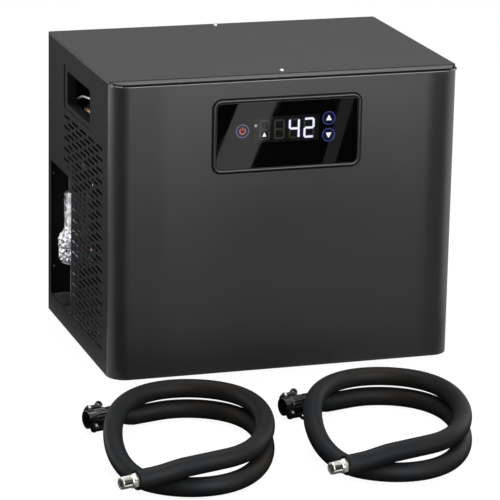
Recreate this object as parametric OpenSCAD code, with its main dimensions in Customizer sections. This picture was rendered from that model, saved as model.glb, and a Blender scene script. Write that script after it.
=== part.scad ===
// Ice bath chiller: a sheet-steel cabinet with a touch display, with its refrigerant and
// water circuits inside, and two coiled hoses with cam-lever couplers on the floor before it.
// Lengths are millimetres. Z is up, the display faces -Y and the floor is z = 0.

/* [Cabinet] */
// Width over the side panels
body_w = 450; // [420:1:500]
// Depth from the front panel to the rear flanges
body_d = 322; // [310:1:380]
// Height of the cabinet without its feet
body_h = 376; // [360:1:440]
// Thickness of the side, top and rear sheets
sheet = 1.2; // [0.8:0.1:2]
// Outside radius of the two front corners
corner_r = 24; // [18:1:32]
// Outside radius of the rear folds
rear_r = 3; // [2:0.5:6]
// Gap where two panels meet
seam = 0.3; // [0.1:0.1:0.6]
// Height of the top cover's turned-down edge
cover_lip = 4; // [3:0.5:8]
// Depth of the ledge in front of the top cover
ledge_d = 20; // [12:1:22]
// Depth of the skirt under the ledge
ledge_skirt = 18; // [12:1:22]
// Width of the folded flanges
flange_w = 12; // [10:1:16]

/* [Front panel] */
// Thickness of the wrap-round front panel
fascia_t = 1.5; // [1:0.1:2.5]
// Dark gap between the front panel and the ledge
fascia_gap = 1.6; // [1:0.1:3]

/* [Base] */
// Thickness of the base pan
pan_t = 1.5; // [1:0.1:2.5]
// Height of the base pan's edge
pan_wall = 20; // [14:1:24]
// Height of the feet below the cabinet
foot_out = 3; // [2:0.5:8]
// Radius of a foot
foot_r = 13; // [9:1:18]
// Distance from a foot to the front and rear faces
foot_in = 40; // [30:1:50]
// Distance from a foot to the side faces
foot_side = 60; // [52:1:70]
// Radius of the drain hole
drain_r = 6; // [4:0.5:9]

/* [Side panels] */
// Length of a vent slot
slot_l = 30; // [20:1:34]
// Height of a vent slot
slot_h = 3.4; // [2:0.1:4]
// Distance between slots in a row
slot_pitch = 39.9; // [36:0.1:44]
// Distance between rows of slots
row_pitch = 7.1; // [6:0.1:7.2]
// Number of rows of slots
slot_rows = 37; // [10:1:37]
// Slots in a full row
slot_cols = 5; // [3:1:5]
// From the top of the cabinet to the first row
slot_down = 92; // [88:1:96]
// From the front panel to the middle of the first slot
slot_back = 62; // [56:1:70]
// Width of a hand-hold
hold_w = 140; // [110:1:150]
// Height of a hand-hold
hold_h = 57; // [40:1:58]
// From the top of the cabinet to a hand-hold
hold_down = 25; // [24:1:28]
// From the front panel to a hand-hold
hold_back = 99; // [80:1:110]
// Corner radius of a hand-hold and of the service window
hold_r = 4; // [2:1:8]
// Width of a grip frame's end strips
grip_end = 14; // [8:1:20]
// Width of a grip frame's top and bottom strips
grip_side = 7; // [4:1:7]
// Depth of a grip frame's lip
grip_lip = 12; // [6:1:16]
// Thickness of a grip frame
grip_t = 1.5; // [1:0.1:2.5]
// Width of the service window in the left panel
window_w = 106; // [90:1:110]
// Height of the service window
window_h = 183; // [150:1:183]
// From the rear face to the service window
window_in = 16; // [14:1:24]
// From the cabinet's underside to the service window
window_up = 25; // [24:1:30]

/* [Display] */
// Width of the display bezel
bezel_w = 192; // [188:1:214]
// Height of the display bezel
bezel_h = 92.5; // [88:0.5:100]
// Corner radius of the bezel
bezel_r = 11; // [9:0.5:16]
// How far the bezel stands out of the front panel
bezel_out = 2; // [1:0.1:4]
// Width of the bezel's rim
rim_w = 4.5; // [4:0.5:8]
// From the top of the cabinet to the middle of the display
display_down = 72; // [66:1:90]
// Thickness of the glass
glass_t = 3; // [2:0.1:4]
// How far the glass lies below the rim
glass_in = 1.2; // [0.2:0.1:1.5]
// Height of a digit
digit_h = 25.4; // [18:0.1:28]
// Width of a digit
digit_w = 14.3; // [10:0.1:15]
// Distance between digits
digit_pitch = 19.2; // [17:0.1:20]
// Radius of a touch key's ring
key_r = 8.7; // [6:0.1:10]
// Distance between the two arrow keys
key_pitch = 21.2; // [20:0.1:24]

/* [Refrigeration] */
// Radius of the compressor
comp_r = 57; // [50:1:58]
// Height of the compressor's shell
comp_h = 185; // [150:1:200]
// From the condenser fan's tips to the nearest edge of the fin pack
fan_in = 22; // [21:1:38]
// Radius of the fan motor
motor_r = 38; // [30:1:44]
// Length of the fan motor
motor_l = 30; // [24:1:31]
// Room beside the condenser's fin pack, for the accumulator and the pump
cond_side = 210; // [206:1:230]
// Room above and below the condenser's fin pack
cond_over = 140; // [136:1:156]
// Depth of the condenser's fin pack
cond_d = 26; // [20:1:28]
// Number of fins
fin_count = 36; // [12:1:48]
// Thickness of a fin
fin_t = 0.5; // [0.3:0.1:1]
// Number of straight condenser tubes
tube_count = 8; // [4:2:8]
// Radius of a condenser tube
tube_r = 4.75; // [4:0.05:6]
// Radius of the evaporator vessel
evap_r = 60; // [52:1:61]
// Height of the evaporator vessel
evap_h = 205; // [170:1:215]
// Wall of the evaporator vessel
evap_wall = 4; // [3:0.5:8]
// Radius of the accumulator's foil-wrapped body
accu_r = 22; // [18:1:23]
// Radius of the foil-wrapped neck
neck_r = 14.5; // [12:0.5:16]
// Radius of the hot-gas pipe
gas_r = 6; // [4:0.5:6.5]
// Radius of the insulated suction pipe
suction_r = 9; // [7:0.5:10]
// Radius of the liquid pipe
liquid_r = 3.5; // [3:0.5:5]
// Radius of the capillary tube
capillary_r = 1.5; // [1:0.1:2]

/* [Water circuit] */
// Radius of the pump's volute
volute_r = 42; // [38:1:44]
// Depth of the pump's volute
volute_d = 30; // [26:1:34]
// Radius of the pump motor
pump_motor_r = 35; // [28:1:37]
// Length of the pump motor
pump_motor_l = 84; // [60:1:90]
// Outside radius of a water pipe
water_r = 8; // [6:0.5:9]
// Outside radius of a port's adapter, which a coupler slides over
port_r = 8.6; // [8.2:0.1:9]
// Bore radius of the ports and stubs
port_bore = 5.5; // [4:0.5:6]
// How far the ports stand out of the rear
port_out = 22; // [20:1:26]
// Radius of the mains lead's hole in its gland
gland_bore = 4.2; // [3:0.1:5]

/* [Hoses] */
// Outside diameter of a hose
hose_d = 22.6; // [20:0.1:23]
// Half width of a hose's coil, across the view
coil_x = 88; // [86:1:110]
// Half depth of a hose's coil, along the view
coil_y = 134; // [130:1:160]
// Length of the straight end that carries the threaded nipple
nipple_tail = 119; // [100:1:130]
// Length of the straight end that carries the coupler
coupler_tail = 66; // [64:1:80]
// Radius of the coupler's body
coupler_r = 11; // [10.5:0.1:12]
// Length of the coupler's body
coupler_l = 30; // [26:1:36]
// Radius of the coupler's bore
coupler_bore = 8.7; // [8.5:0.1:9.2]
// Radius of the nipple's thread
thread_r = 7.2; // [6:0.1:8]
// Length of the nipple's thread
thread_l = 14; // [8:1:18]
// Length of the nipple's six-sided collar
collar_l = 6; // [4:0.5:10]
// Radius of the nipple's collar
collar_r = 8.7; // [8:0.1:10]
// Bore radius of the nipple
nipple_bore = 4.6; // [3:0.1:5]

/* [Hidden] */
$fn = 48;

// Colours
black_paint = [0.13, 0.135, 0.14];
ledge_paint = [0.2, 0.205, 0.21];
black_plastic = [0.09, 0.09, 0.1];
black_rubber = [0.15, 0.155, 0.16];
glass_black = [0.03, 0.03, 0.04];
steel = [0.75, 0.75, 0.73];
zinc = [0.62, 0.63, 0.62];
copper = [0.78, 0.5, 0.36];
foil = [0.85, 0.85, 0.87];
board_green = [0.08, 0.3, 0.16];
white_plastic = [0.85, 0.86, 0.84];

// Overrun of every cut, and the running and seating clearances
cut = 1;
run_fit = 0.05;
seat = 0.3;

// Reference planes
front_y = -(body_d + bezel_out + port_out) / 2 + bezel_out;
rear_y = front_y + body_d;
base_z = foot_out;
top_z = foot_out + body_h;
floor_z = base_z + pan_t;
pan_top = base_z + pan_wall;
inner_x = body_w / 2 - sheet;
panel_top = top_z - cover_lip - seam;
under_cover = top_z - sheet;
// The side panels start where the front corners end
side_y = front_y + corner_r;
// The rear panel lies behind the side panels' rear flanges
rear_out = rear_y - sheet - seam;
rear_in = rear_out - sheet;
pan_inset = fascia_t + seat;
ledge_inset = fascia_t + fascia_gap;
ledge_pad_r = 5;
ledge_pad_x = body_w / 2 - 2 * corner_r;

// Screws
screw_r = 1.6;
screw_head_r = 2.6;
screw_head = 1.4;
screw_l = 8;
screw_hole = 1.8;
top_screw_rear = 9;
top_screw_front = 34;
screw_height_shares = [0.16, 0.5, 0.84];

// Feet and drain
foot_stem_r = 4;
foot_head_r = 7;
foot_head = 3;
foot_fit = 0.2;

// Display
display_x = -2.5;
display_z = top_z - display_down;
groove = 1;
bezel_flange = 5;
bezel_flange_t = 2;
glass_fit = 0.2;
glass_seat = 3;
glass_front = front_y - bezel_out + glass_in;
glass_back = glass_front + glass_t;
contents_up = 6;
digits_x = -3.4;
module_margin = 4;
module_d = 7;
board_t = 1.6;
board_h = 64;
segment_w = 2.6;
segment_in = 0.5;
power_x = -60.6;
arrow_x = 52;
board_front = glass_back + module_d + 2 * seat;
key_places = [
  [power_x, contents_up],
  [arrow_x, contents_up + key_pitch / 2],
  [arrow_x, contents_up - key_pitch / 2]
];

// The slots that the service window leaves out
window_top = base_z + window_up + window_h;
window_front = rear_y - window_in - window_w;
window_clear = 8;
slot_gap = 2;

// Compressor
comp_in = 110;
comp_y = front_y + comp_in;
comp_dome = 20;
dome_r = (comp_r * comp_r + comp_dome * comp_dome) / (2 * comp_dome);
mount_h = 12;
mount_r = 10;
mount_count = 3;
mount_reach = comp_r + mount_r / 2;
mount_neck = 5.5;
mount_cap_r = 8;
mount_cap = 4;
stud_r = 3;
stud_clear = 0.2;
plate_t = 3;
comp_z = floor_z + mount_h;
comp_top = comp_z + plate_t + comp_h;
weld_t = 5;
weld_out = 1.5;
weld_shares = [0.22, 0.8];
cap_r = 24;
cap_h = 22;
cap_wall = 2;
terminal_r = 9;
terminal_h = 8;
gas_stub_wall = 1;
gas_stub_top = comp_top + gas_r;

// Condenser, fan and shroud
cond_w = body_w - cond_side;
cond_h = body_h - cond_over;
fan_r = min(cond_w, cond_h) / 2 - fan_in;
fan_x = -30;
cond_up = 69;
fan_z = base_z + cond_up + cond_h / 2;
fan_gap = 5;
cond_in = 85;
cond_y = rear_y - cond_in;
cond_front = cond_y - cond_d / 2;
cond_back = cond_y + cond_d / 2;
cond_z = fan_z - cond_h / 2;
tube_pitch = cond_h / tube_count;
tube_over = 4;
end_t = 1.2;
end_fold = 8;
// Where the two open tube ends stop, left of the end plate
open_end_x = fan_x - cond_w / 2 - end_t - tube_over - tube_pitch / 2;
shroud_t = 1.2;
shroud_front = cond_back + seat;
shroud_back = rear_in - seat;
shroud_w = cond_w + 2 * (seat + end_t + shroud_t);
shroud_h = cond_h + 2 * (seat + shroud_t);
bracket_w = 22;
bracket_t = 2;
bracket_in = 4;
bracket_y = shroud_front + bracket_in;
motor_y = bracket_y + bracket_t;
motor_boss = 1;
fan_clear = 3;
fan_y = motor_y + motor_l + fan_clear;
hub_r = 26;
hub_l = 16;
blade_count = 5;
blade_t = 1.6;
blade_pitch = 24;
blade_w = 34;
shaft_r = 4;
guard_wire = 1.4;
spoke_r = 1.1;
guard_ring_shares = [0.25, 0.45, 0.64, 0.82, 1];
guard_eye_share = 0.78;
guard_eye = guard_eye_share * (fan_r + fan_gap);
guard_y = rear_out + 3 * guard_wire;
drain_y = cond_front - 4 * drain_r;

// Evaporator
evap_in = 95;
evap_y = front_y + evap_in;
evap_base = 6;
evap_top = floor_z + evap_base + evap_h;
lid_t = 8;
lid_over = 5;
evap_coil_r = 42;
evap_coil_tube = 5;
evap_coil_pitch = 20;
evap_coil_turns = 7;
stub_l = 12;
stub_low_up = 50;
stub_high_up = 134;
stub_low = floor_z + stub_low_up;
stub_high = floor_z + stub_high_up;
evap_coil_low = floor_z + evap_base + 4 * evap_coil_tube;
evap_coil_out = evap_top + lid_t + stub_l;

// Accumulator and drier
accu_side = 27;
accu_x = accu_side - body_w / 2;
accu_in = 39;
accu_y = rear_y - accu_in;
accu_bottom = 78;
accu_body = 32;
accu_shoulder = 12;
accu_neck = 50;
accu_top = accu_bottom + accu_body + accu_shoulder + accu_neck;
accu_cap_share = 0.8;
stand_r = 6;
stand_plate = 26;
drier_side = 35;
drier_x = drier_side - body_w / 2;
drier_in = 100;
drier_y = rear_y - drier_in;
drier_r = 11;
drier_low = 112;
drier_l = 80;

// Pump and ports
port_side = 53;
port_x = body_w / 2 - port_side;
inlet_up = 59;
outlet_up = 125;
pump_z = base_z + inlet_up;
outlet_z = base_z + outlet_up;
pump_in = 56;
pump_rear = rear_y - pump_in;
pump_front = pump_rear - volute_d;
volute_wall = 5;
impeller_r = 30;
impeller_t = 3;
vane_t = 2;
vane_h = 9;
vane_count = 6;
pump_shaft_r = 3;
pump_foot = 8;
pump_foot_w = 50;
delivery_wall = 2;
delivery_x = port_x - volute_r + water_r + delivery_wall;
delivery_top = pump_z + volute_r + water_r / 2;
port_collar_t = 5;
port_collar_r = 14;
port_thread_r = 10;
port_tail = 16;
port_nut_t = 6;
port_groove = 1.4;
port_groove_l = 5;
port_tail_y = rear_in - port_nut_t - port_tail;
gland_x = port_x;
gland_down = 78;
gland_z = top_z - gland_down;
gland_thread_r = 8;
gland_hex_r = 12;
gland_hex_t = 6;
gland_dome = 9;
gland_in = 10;

// Across the front stand the compressor on its mounts, the vessel with its stubs and the delivery
// pipe. The shares of the spare width go left of the compressor, and between it and the vessel.
bend_r = 16;
row_shares = [447 / 847, 180 / 847];
row_left = pan_inset + pan_t - body_w / 2;
row_right = delivery_x - bend_r;
row_spare = row_right - row_left - mount_reach - mount_r - comp_r - 2 * evap_r - stub_l;
comp_x = row_left + row_shares[0] * row_spare + mount_reach + mount_r;
evap_x = comp_x + comp_r + row_shares[1] * row_spare + evap_r;
gas_stub_x = comp_x - 2 / 3 * comp_r;
drain_x = comp_x + comp_r + drain_r;

// Control box
box_d = 52;
box_w = 150;
box_wall = 2.5;
box_in = 72;
box_over = 43;
box_under = 7;
box_y = front_y + box_in;
box_z = outlet_z + box_over;
box_h = top_z - hold_down - hold_h - grip_side - box_under - box_z;
capacitor_r = 15;
capacitor_l = 70;
// Relays, transformer and terminals on the board: place, size and height
part_shares = [
  [0.06, 0.55, 0.2, 0.35, 0.36],
  [0.32, 0.55, 0.2, 0.35, 0.28],
  [0.62, 0.5, 0.3, 0.42, 0.4],
  [0.06, 0.08, 0.5, 0.22, 0.2],
  [0.66, 0.1, 0.14, 0.25, 0.32],
  [0.83, 0.1, 0.12, 0.2, 0.24]
];

// Pipes: their bends, and the lines that they keep to beside and above the other pieces
bend_steps = 4;
pipe_sides = 8;
ring_step = 15;
pipe_gap = 10;
side_line = accu_x - neck_r / 2;
gas_line = top_z - cover_lip - hold_down - hold_h + gas_r;
capillary_line = gas_line + 3 * gas_r;
suction_line = top_z - 4 * suction_r;
suction_back = cond_front - 2 * suction_r;

// Hoses: an oval coil of one upper turn that comes down onto the lower one
coil_turn = -18;
coil_square_share = 0.08;
coil_start = -62;
coil_end = 476;
drop_start = 154;
drop_end = 245;
slide_start = 90;
slide_end = 290;
coil_shift = 12;
coil_draw = 6;
turn_gap = 1;
hose_r = hose_d / 2;
hose_sides = 12;
low_z = hose_r;
coil_rise = hose_d + turn_gap;
nipple_dip = 3;
dip_share = 0.55;
coupler_lift = 5;
tail_rings = 5;
hose_places = [[-206, -443], [33, -457]];

// Couplers and their levers
mouth_l = 18;
gasket_t = 2;
// Where the gasket's recess starts, below the mouth
gasket_x = coupler_l - mouth_l - gasket_t - seat;
gasket_seat_r = 8.2;
gasket_r = gasket_seat_r - seat / 2;
gasket_bore = port_bore + seat;
lever_roll = 45;
lever_w = 8;
lever_t = 3.4;
lever_l = 16;
cam_r = 4.2;
pin_r = 1.5;
pin_in = 6.5;
ear_gap = 0.3;
ear_t = 2;
ear_r = 2.5;
ring_r = 4.5;
ring_hole = 2.4;
pin_x = coupler_l - pin_in;
pin_z = coupler_r + pin_r;
ear_y = lever_w / 2 + ear_gap;

// Helper shapes
module rounded_rect(w, h, r) {
  square([w - 2 * r, h], center = true);
  square([w, h - 2 * r], center = true);
  for (x = [-1, 1], y = [-1, 1])
    translate([x * (w / 2 - r), y * (h / 2 - r)]) circle(r);
}

// Sweeps a shape drawn in (X, Z) from one y to another
module along_y(from, to) {
  translate([0, to, 0]) rotate([90, 0, 0]) linear_extrude(to - from) children();
}

// Sweeps a shape drawn in (Y, Z) from one x to another
module along_x(from, to) {
  translate([from, 0, 0]) rotate([90, 0, 90]) linear_extrude(to - from) children();
}

// The cabinet's outline seen from above, drawn in by inset
module cabinet_plan(inset) {
  rear_in_by = max(rear_r, inset);
  translate([-(body_w / 2 - corner_r), front_y + inset])
    square([body_w - 2 * corner_r, corner_r]);
  translate([-(body_w / 2 - inset), side_y])
    square([body_w - 2 * inset, rear_y - rear_in_by - side_y]);
  if (rear_r > inset)
    translate([-(body_w / 2 - rear_r), side_y])
      square([body_w - 2 * rear_r, rear_y - inset - side_y]);
  for (x = [-1, 1]) {
    translate([x * (body_w / 2 - corner_r), side_y]) circle(corner_r - inset);
    if (rear_r > inset)
      translate([x * (body_w / 2 - rear_r), rear_y - rear_r]) circle(rear_r - inset);
  }
}

// A band of the plan between two depths
module band(y0, y1) {
  translate([-body_w, y0]) square([2 * body_w, y1 - y0]);
}

// Functions for tubes
function unit(v) = v / norm(v);
function ease(t) = let(u = max(0, min(1, t))) u * u * (3 - 2 * u);
function tangents(p) = let(n = len(p) - 1)
  [for (i = [0:n]) unit(p[min(i + 1, n)] - p[max(i - 1, 0)])];
function carry(n, t) = unit(n - t * (n * t));
function normals(t, n0) =
  [for (i = 0, n = carry(n0, t[0]); i < len(t); i = i + 1, n = carry(n, t[min(i, len(t) - 1)])) n];
// The points of a route with its inner corners rounded
function bend(p, r) = concat([p[0]],
  [for (i = [1:len(p) - 2])
    let(a = p[i] + unit(p[i - 1] - p[i]) * r, b = p[i] + unit(p[i + 1] - p[i]) * r)
    for (k = [0:bend_steps])
      let(s = k / bend_steps) (1 - s) * (1 - s) * a + 2 * s * (1 - s) * p[i] + s * s * b],
  [p[len(p) - 1]]);

// Least clear distance between stretches of a route that lie apart rings or more apart
function least_gap(p, d, apart) = min([for (i = [0:len(p) - 1 - apart])
  for (j = [i + apart:len(p) - 1]) norm(p[i] - p[j])]) - d;

// A closed tube of radius r along points
module tube(p, r, sides, up) {
  t = tangents(p);
  n = normals(t, up);
  rings = [for (i = [0:len(p) - 1], k = [0:sides - 1])
    let(a = 360 * (k + 1 / 2) / sides) p[i] + r * (cos(a) * n[i] + sin(a) * cross(t[i], n[i]))];
  last = (len(p) - 1) * sides;
  sides_faces = [for (i = [0:len(p) - 2], k = [0:sides - 1])
    let(a = i * sides + k, b = i * sides + (k + 1) % sides)
    each [[a, a + sides, b], [b, a + sides, b + sides]]];
  start_cap = [for (k = [1:sides - 2]) [0, k, k + 1]];
  end_cap = [for (k = [1:sides - 2]) [last, last + k + 1, last + k]];
  polyhedron(rings, concat(sides_faces, start_cap, end_cap));
}

// Cabinet

module base_pan() {
  color(zinc) difference() {
    union() {
      translate([0, 0, base_z]) linear_extrude(pan_t) cabinet_plan(pan_inset);
      translate([0, 0, base_z]) linear_extrude(pan_wall) difference() {
        cabinet_plan(pan_inset);
        cabinet_plan(pan_inset + pan_t);
      }
      compressor_studs();
    }
    foot_places() cylinder(r = foot_stem_r + foot_fit, h = floor_z + cut);
    translate([drain_x, drain_y, base_z - cut]) cylinder(r = drain_r, h = pan_t + 2 * cut);
  }
}

module compressor_studs() {
  at_mounts() translate([0, 0, floor_z])
    cylinder(r = stud_r, h = mount_h + plate_t + mount_cap + stud_r);
}

module at_mounts() {
  for (i = [0:mount_count - 1])
    translate([comp_x, comp_y, 0]) rotate([0, 0, 360 * (i + 1 / 2) / mount_count])
      translate([mount_reach, 0, 0]) children();
}

module foot_places() {
  for (x = [-1, 1])
    translate([x * (body_w / 2 - foot_side), 0, 0])
      for (y = [front_y + foot_in, rear_y - foot_in]) translate([0, y, 0]) children();
}

module rubber_feet() {
  color(black_rubber) foot_places() {
    cylinder(r = foot_r, h = foot_out);
    cylinder(r = foot_stem_r, h = floor_z + foot_head);
    translate([0, 0, floor_z]) cylinder(r = foot_head_r, h = foot_head);
  }
}

module front_ledge() {
  rear = front_y + top_screw_front + flange_w / 2;
  color(ledge_paint) difference() {
    union() {
      translate([0, 0, under_cover - sheet]) linear_extrude(sheet) intersection() {
        cabinet_plan(ledge_inset);
        band(front_y, rear);
      }
      translate([0, 0, under_cover - ledge_skirt]) linear_extrude(ledge_skirt) difference() {
        intersection() {
          cabinet_plan(ledge_inset);
          band(front_y, front_y + ledge_d);
        }
        cabinet_plan(ledge_inset + sheet);
      }
      for (x = [-1, 1]) translate([x * ledge_pad_x, 0, under_cover - ledge_skirt / 2])
        along_y(front_y + fascia_t, front_y + ledge_inset + sheet / 2) circle(ledge_pad_r);
    }
    top_screw_places() translate([0, 0, -screw_l]) cylinder(r = screw_hole, h = screw_l);
  }
}

module front_fascia() {
  color(black_paint) difference() {
    translate([0, 0, base_z]) linear_extrude(panel_top + seam - base_z) difference() {
      intersection() {
        cabinet_plan(0);
        band(front_y, side_y);
      }
      cabinet_plan(fascia_t);
    }
    along_y(front_y - cut, front_y + fascia_t + cut) translate([display_x, display_z])
      rounded_rect(bezel_w + 2 * groove, bezel_h + 2 * groove, bezel_r + groove);
  }
}

module top_cover() {
  color(black_paint) difference() {
    translate([0, 0, top_z - cover_lip]) linear_extrude(cover_lip) intersection() {
      cabinet_plan(0);
      band(front_y + ledge_d, rear_y);
    }
    translate([0, 0, top_z - cover_lip - cut]) linear_extrude(cover_lip - sheet + cut) intersection() {
      cabinet_plan(sheet);
      band(front_y, rear_y);
    }
    top_screw_places() translate([0, 0, -screw_l]) cylinder(r = screw_hole, h = screw_l + cut);
  }
}

module top_screw_places() {
  for (y = [front_y + top_screw_front, rear_y - top_screw_rear]) translate([0, y, top_z]) children();
}

// The vent slots of one side, drawn in (Y, Z)
module slot_field(has_window) {
  for (row = [0:slot_rows - 1]) {
    z = top_z - slot_down - row * row_pitch;
    odd = row % 2;
    for (i = [0:slot_cols - 1 - odd]) {
      y = front_y + slot_back + (i + odd / 2) * slot_pitch;
      cut_off = has_window && z < window_top + window_clear && y + slot_l / 2 > window_front - slot_gap;
      if (!cut_off) translate([y, z]) {
        square([slot_l - slot_h, slot_h], center = true);
        for (s = [-1, 1]) translate([s * (slot_l - slot_h) / 2, 0]) circle(slot_h / 2, $fn = 16);
      }
    }
  }
}

module hold_outline(end_in, side_in, r) {
  translate([front_y + hold_back + hold_w / 2, top_z - hold_down - hold_h / 2])
    rounded_rect(hold_w - 2 * end_in, hold_h - 2 * side_in, r);
}

module window_outline() {
  translate([window_front + window_w / 2, base_z + window_up + window_h / 2])
    rounded_rect(window_w, window_h, hold_r);
}

// The left panel; the right one is its mirror image without the window
module side_panel(has_window) {
  flange_top = top_z - cover_lip - ledge_skirt - flange_w;
  difference() {
    union() {
      translate([0, 0, base_z]) linear_extrude(panel_top - base_z) difference() {
        intersection() {
          cabinet_plan(0);
          band(side_y + seam, rear_y);
          translate([-body_w / 2, front_y]) square([flange_w, body_d]);
        }
        cabinet_plan(sheet);
      }
      translate([-body_w / 2 + sheet / 2, side_y + seam, pan_top + seam])
        cube([flange_w - sheet / 2, sheet, flange_top - pan_top - seam]);
    }
    along_x(-body_w / 2 - cut, -inner_x + cut) {
      slot_field(has_window);
      hold_outline(0, 0, hold_r);
      if (has_window) window_outline();
    }
    rear_screw_places() rotate([90, 0, 0]) translate([0, 0, -cut])
      cylinder(r = screw_hole, h = 2 * sheet + 2 * cut);
  }
}

module rear_screw_places() {
  for (x = [-1, 1], s = screw_height_shares)
    translate([x * (body_w / 2 - flange_w / 2), rear_y, base_z + s * body_h]) children();
}

module left_side_panel() {
  color(black_paint) side_panel(true);
}

module right_side_panel() {
  color(black_paint) mirror([1, 0, 0]) side_panel(false);
}

// A flat sheet with a fold along its top, on which the cover lies
module rear_panel() {
  half_w = body_w / 2 - rear_r;
  color(black_paint) difference() {
    union() {
      along_y(rear_in, rear_out) translate([-half_w, pan_top + seam])
        square([2 * half_w, under_cover - pan_top - seam]);
      translate([-half_w, rear_out - flange_w, under_cover - sheet])
        cube([2 * half_w, flange_w, sheet]);
    }
    along_y(rear_in - cut, rear_out + cut) {
      translate([fan_x, fan_z]) circle(fan_r + fan_gap);
      for (z = [pump_z, outlet_z]) translate([port_x, z]) circle(port_thread_r + seat);
      translate([gland_x, gland_z]) circle(gland_thread_r + seat);
    }
    rear_screw_places() rotate([90, 0, 0]) cylinder(r = screw_hole, h = screw_l);
    top_screw_places() translate([0, 0, -screw_l]) cylinder(r = screw_hole, h = screw_l);
  }
}

// Folded frames behind both hand-holds
module grip_frames() {
  color(zinc) for (side = [0, 1]) mirror([side, 0, 0]) {
    along_x(-inner_x, -inner_x + grip_t) difference() {
      hold_outline(-grip_side, -grip_side / 2, hold_r);
      hold_outline(grip_end, grip_side, hold_r);
    }
    along_x(-inner_x, -inner_x + grip_lip) difference() {
      hold_outline(grip_end - grip_t, grip_side - grip_t, hold_r + grip_t);
      hold_outline(grip_end, grip_side, hold_r);
    }
  }
}

module screw(length) {
  cylinder(r = screw_head_r, h = screw_head);
  translate([0, 0, -length]) cylinder(r = screw_r, h = length);
}

module cabinet_screws() {
  color(steel) {
    top_screw_places() screw(screw_l);
    rear_screw_places() rotate([-90, 0, 0]) screw(screw_l);
  }
}

// Display

module display_bezel() {
  back = glass_back + bezel_flange_t;
  color(black_plastic) difference() {
    union() {
      along_y(front_y - bezel_out, back) translate([display_x, display_z])
        rounded_rect(bezel_w, bezel_h, bezel_r);
      along_y(front_y + fascia_t, back) translate([display_x, display_z])
        rounded_rect(bezel_w + 2 * bezel_flange, bezel_h + 2 * bezel_flange, bezel_r + bezel_flange);
    }
    along_y(front_y - bezel_out - cut, glass_back) translate([display_x, display_z])
      rounded_rect(bezel_w - 2 * rim_w, bezel_h - 2 * rim_w, bezel_r - rim_w + glass_fit);
    along_y(front_y, back + cut) translate([display_x, display_z])
      rounded_rect(bezel_w - 2 * (rim_w + glass_seat), bezel_h - 2 * (rim_w + glass_seat), glass_seat);
  }
}

module display_glass() {
  w = bezel_w - 2 * (rim_w + glass_fit);
  h = bezel_h - 2 * (rim_w + glass_fit);
  color(glass_black) along_y(glass_front, glass_back) translate([display_x, display_z])
    rounded_rect(w, h, bezel_r - rim_w);
}

// The circuit board behind the glass, with a touch spring behind each key
module display_board() {
  w = bezel_w - 2 * (rim_w + glass_seat + seat);
  color(board_green) {
    along_y(board_front, board_front + board_t) translate([display_x, display_z + contents_up / 2])
      square([w, board_h], center = true);
    along_y(glass_back + seat, board_front + board_t / 2) for (k = key_places)
      translate([k[0], display_z + k[1]]) circle(key_r / 2);
  }
}

// The bars of one seven-segment digit, around its own middle
module digit_bars() {
  h = digit_h / 2;
  for (z = [-1, 0, 1]) translate([0, z * (h - segment_w / 2)])
    square([digit_w - 2 * segment_w, segment_w], center = true);
  for (x = [-1, 1], z = [-1, 1])
    translate([x * (digit_w - segment_w) / 2, z * h / 2])
      square([segment_w, h - 3 / 2 * segment_w], center = true);
}

module digit_module() {
  w = 3 * digit_pitch + digit_w + 2 * module_margin;
  h = digit_h + 2 * module_margin;
  color(white_plastic) difference() {
    along_y(glass_back + seat, board_front) translate([digits_x, display_z + contents_up])
      square([w, h], center = true);
    along_y(glass_back + seat - cut, glass_back + seat + segment_in) for (i = [0:3])
      translate([digits_x + (i - 3 / 2) * digit_pitch, display_z + contents_up]) digit_bars();
  }
}

// Controls and mains

module control_box() {
  color(black_plastic) difference() {
    translate([inner_x - seat - box_d, box_y, box_z]) cube([box_d, box_w, box_h]);
    translate([inner_x - seat - box_d - cut, box_y + box_wall, box_z + box_wall])
      cube([box_d - box_wall + cut, box_w - 2 * box_wall, box_h - 2 * box_wall]);
  }
}

module control_board() {
  w = box_w - 2 * (box_wall + seat);
  h = box_h - 2 * (box_wall + seat) - 2 * capacitor_r - seat;
  back = inner_x - seat - box_wall - seat;
  z0 = box_z + box_h - box_wall - seat - h;
  color(board_green) {
    translate([back - board_t, box_y + box_wall + seat, z0]) cube([board_t, w, h]);
    for (s = part_shares)
      translate([back - board_t - s[4] * box_d, box_y + box_wall + s[0] * w, z0 + s[1] * h])
        cube([s[4] * box_d + board_t / 2, s[2] * w, s[3] * h]);
  }
}

module run_capacitor() {
  r = capacitor_r;
  y0 = box_y + box_wall + seat;
  z0 = box_z + box_wall + seat + r;
  x0 = inner_x - seat - box_wall - seat - r;
  color(white_plastic) {
    along_y(y0, y0 + capacitor_l) translate([x0, z0]) circle(r);
    along_y(y0 + capacitor_l - cut, y0 + capacitor_l + r / 2) for (s = [-1, 1])
      translate([x0 + s * r / 2, z0]) circle(r / 5);
  }
}

module cable_gland() {
  color(black_plastic) difference() {
    union() {
      along_y(rear_in - gland_in, rear_out + gland_hex_t) translate([gland_x, gland_z])
        circle(gland_thread_r);
      along_y(rear_out, rear_out + gland_hex_t) translate([gland_x, gland_z])
        circle(gland_hex_r, $fn = 6);
      along_y(rear_in - gland_in / 2, rear_in) translate([gland_x, gland_z])
        circle(gland_hex_r, $fn = 6);
      along_y(rear_out + gland_hex_t, rear_out + gland_hex_t + gland_dome)
        translate([gland_x, gland_z]) circle(gland_thread_r + sheet);
    }
    along_y(rear_in - gland_in - cut, rear_out + gland_hex_t + gland_dome + cut)
      translate([gland_x, gland_z]) circle(gland_bore);
  }
}

// Refrigeration

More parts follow.
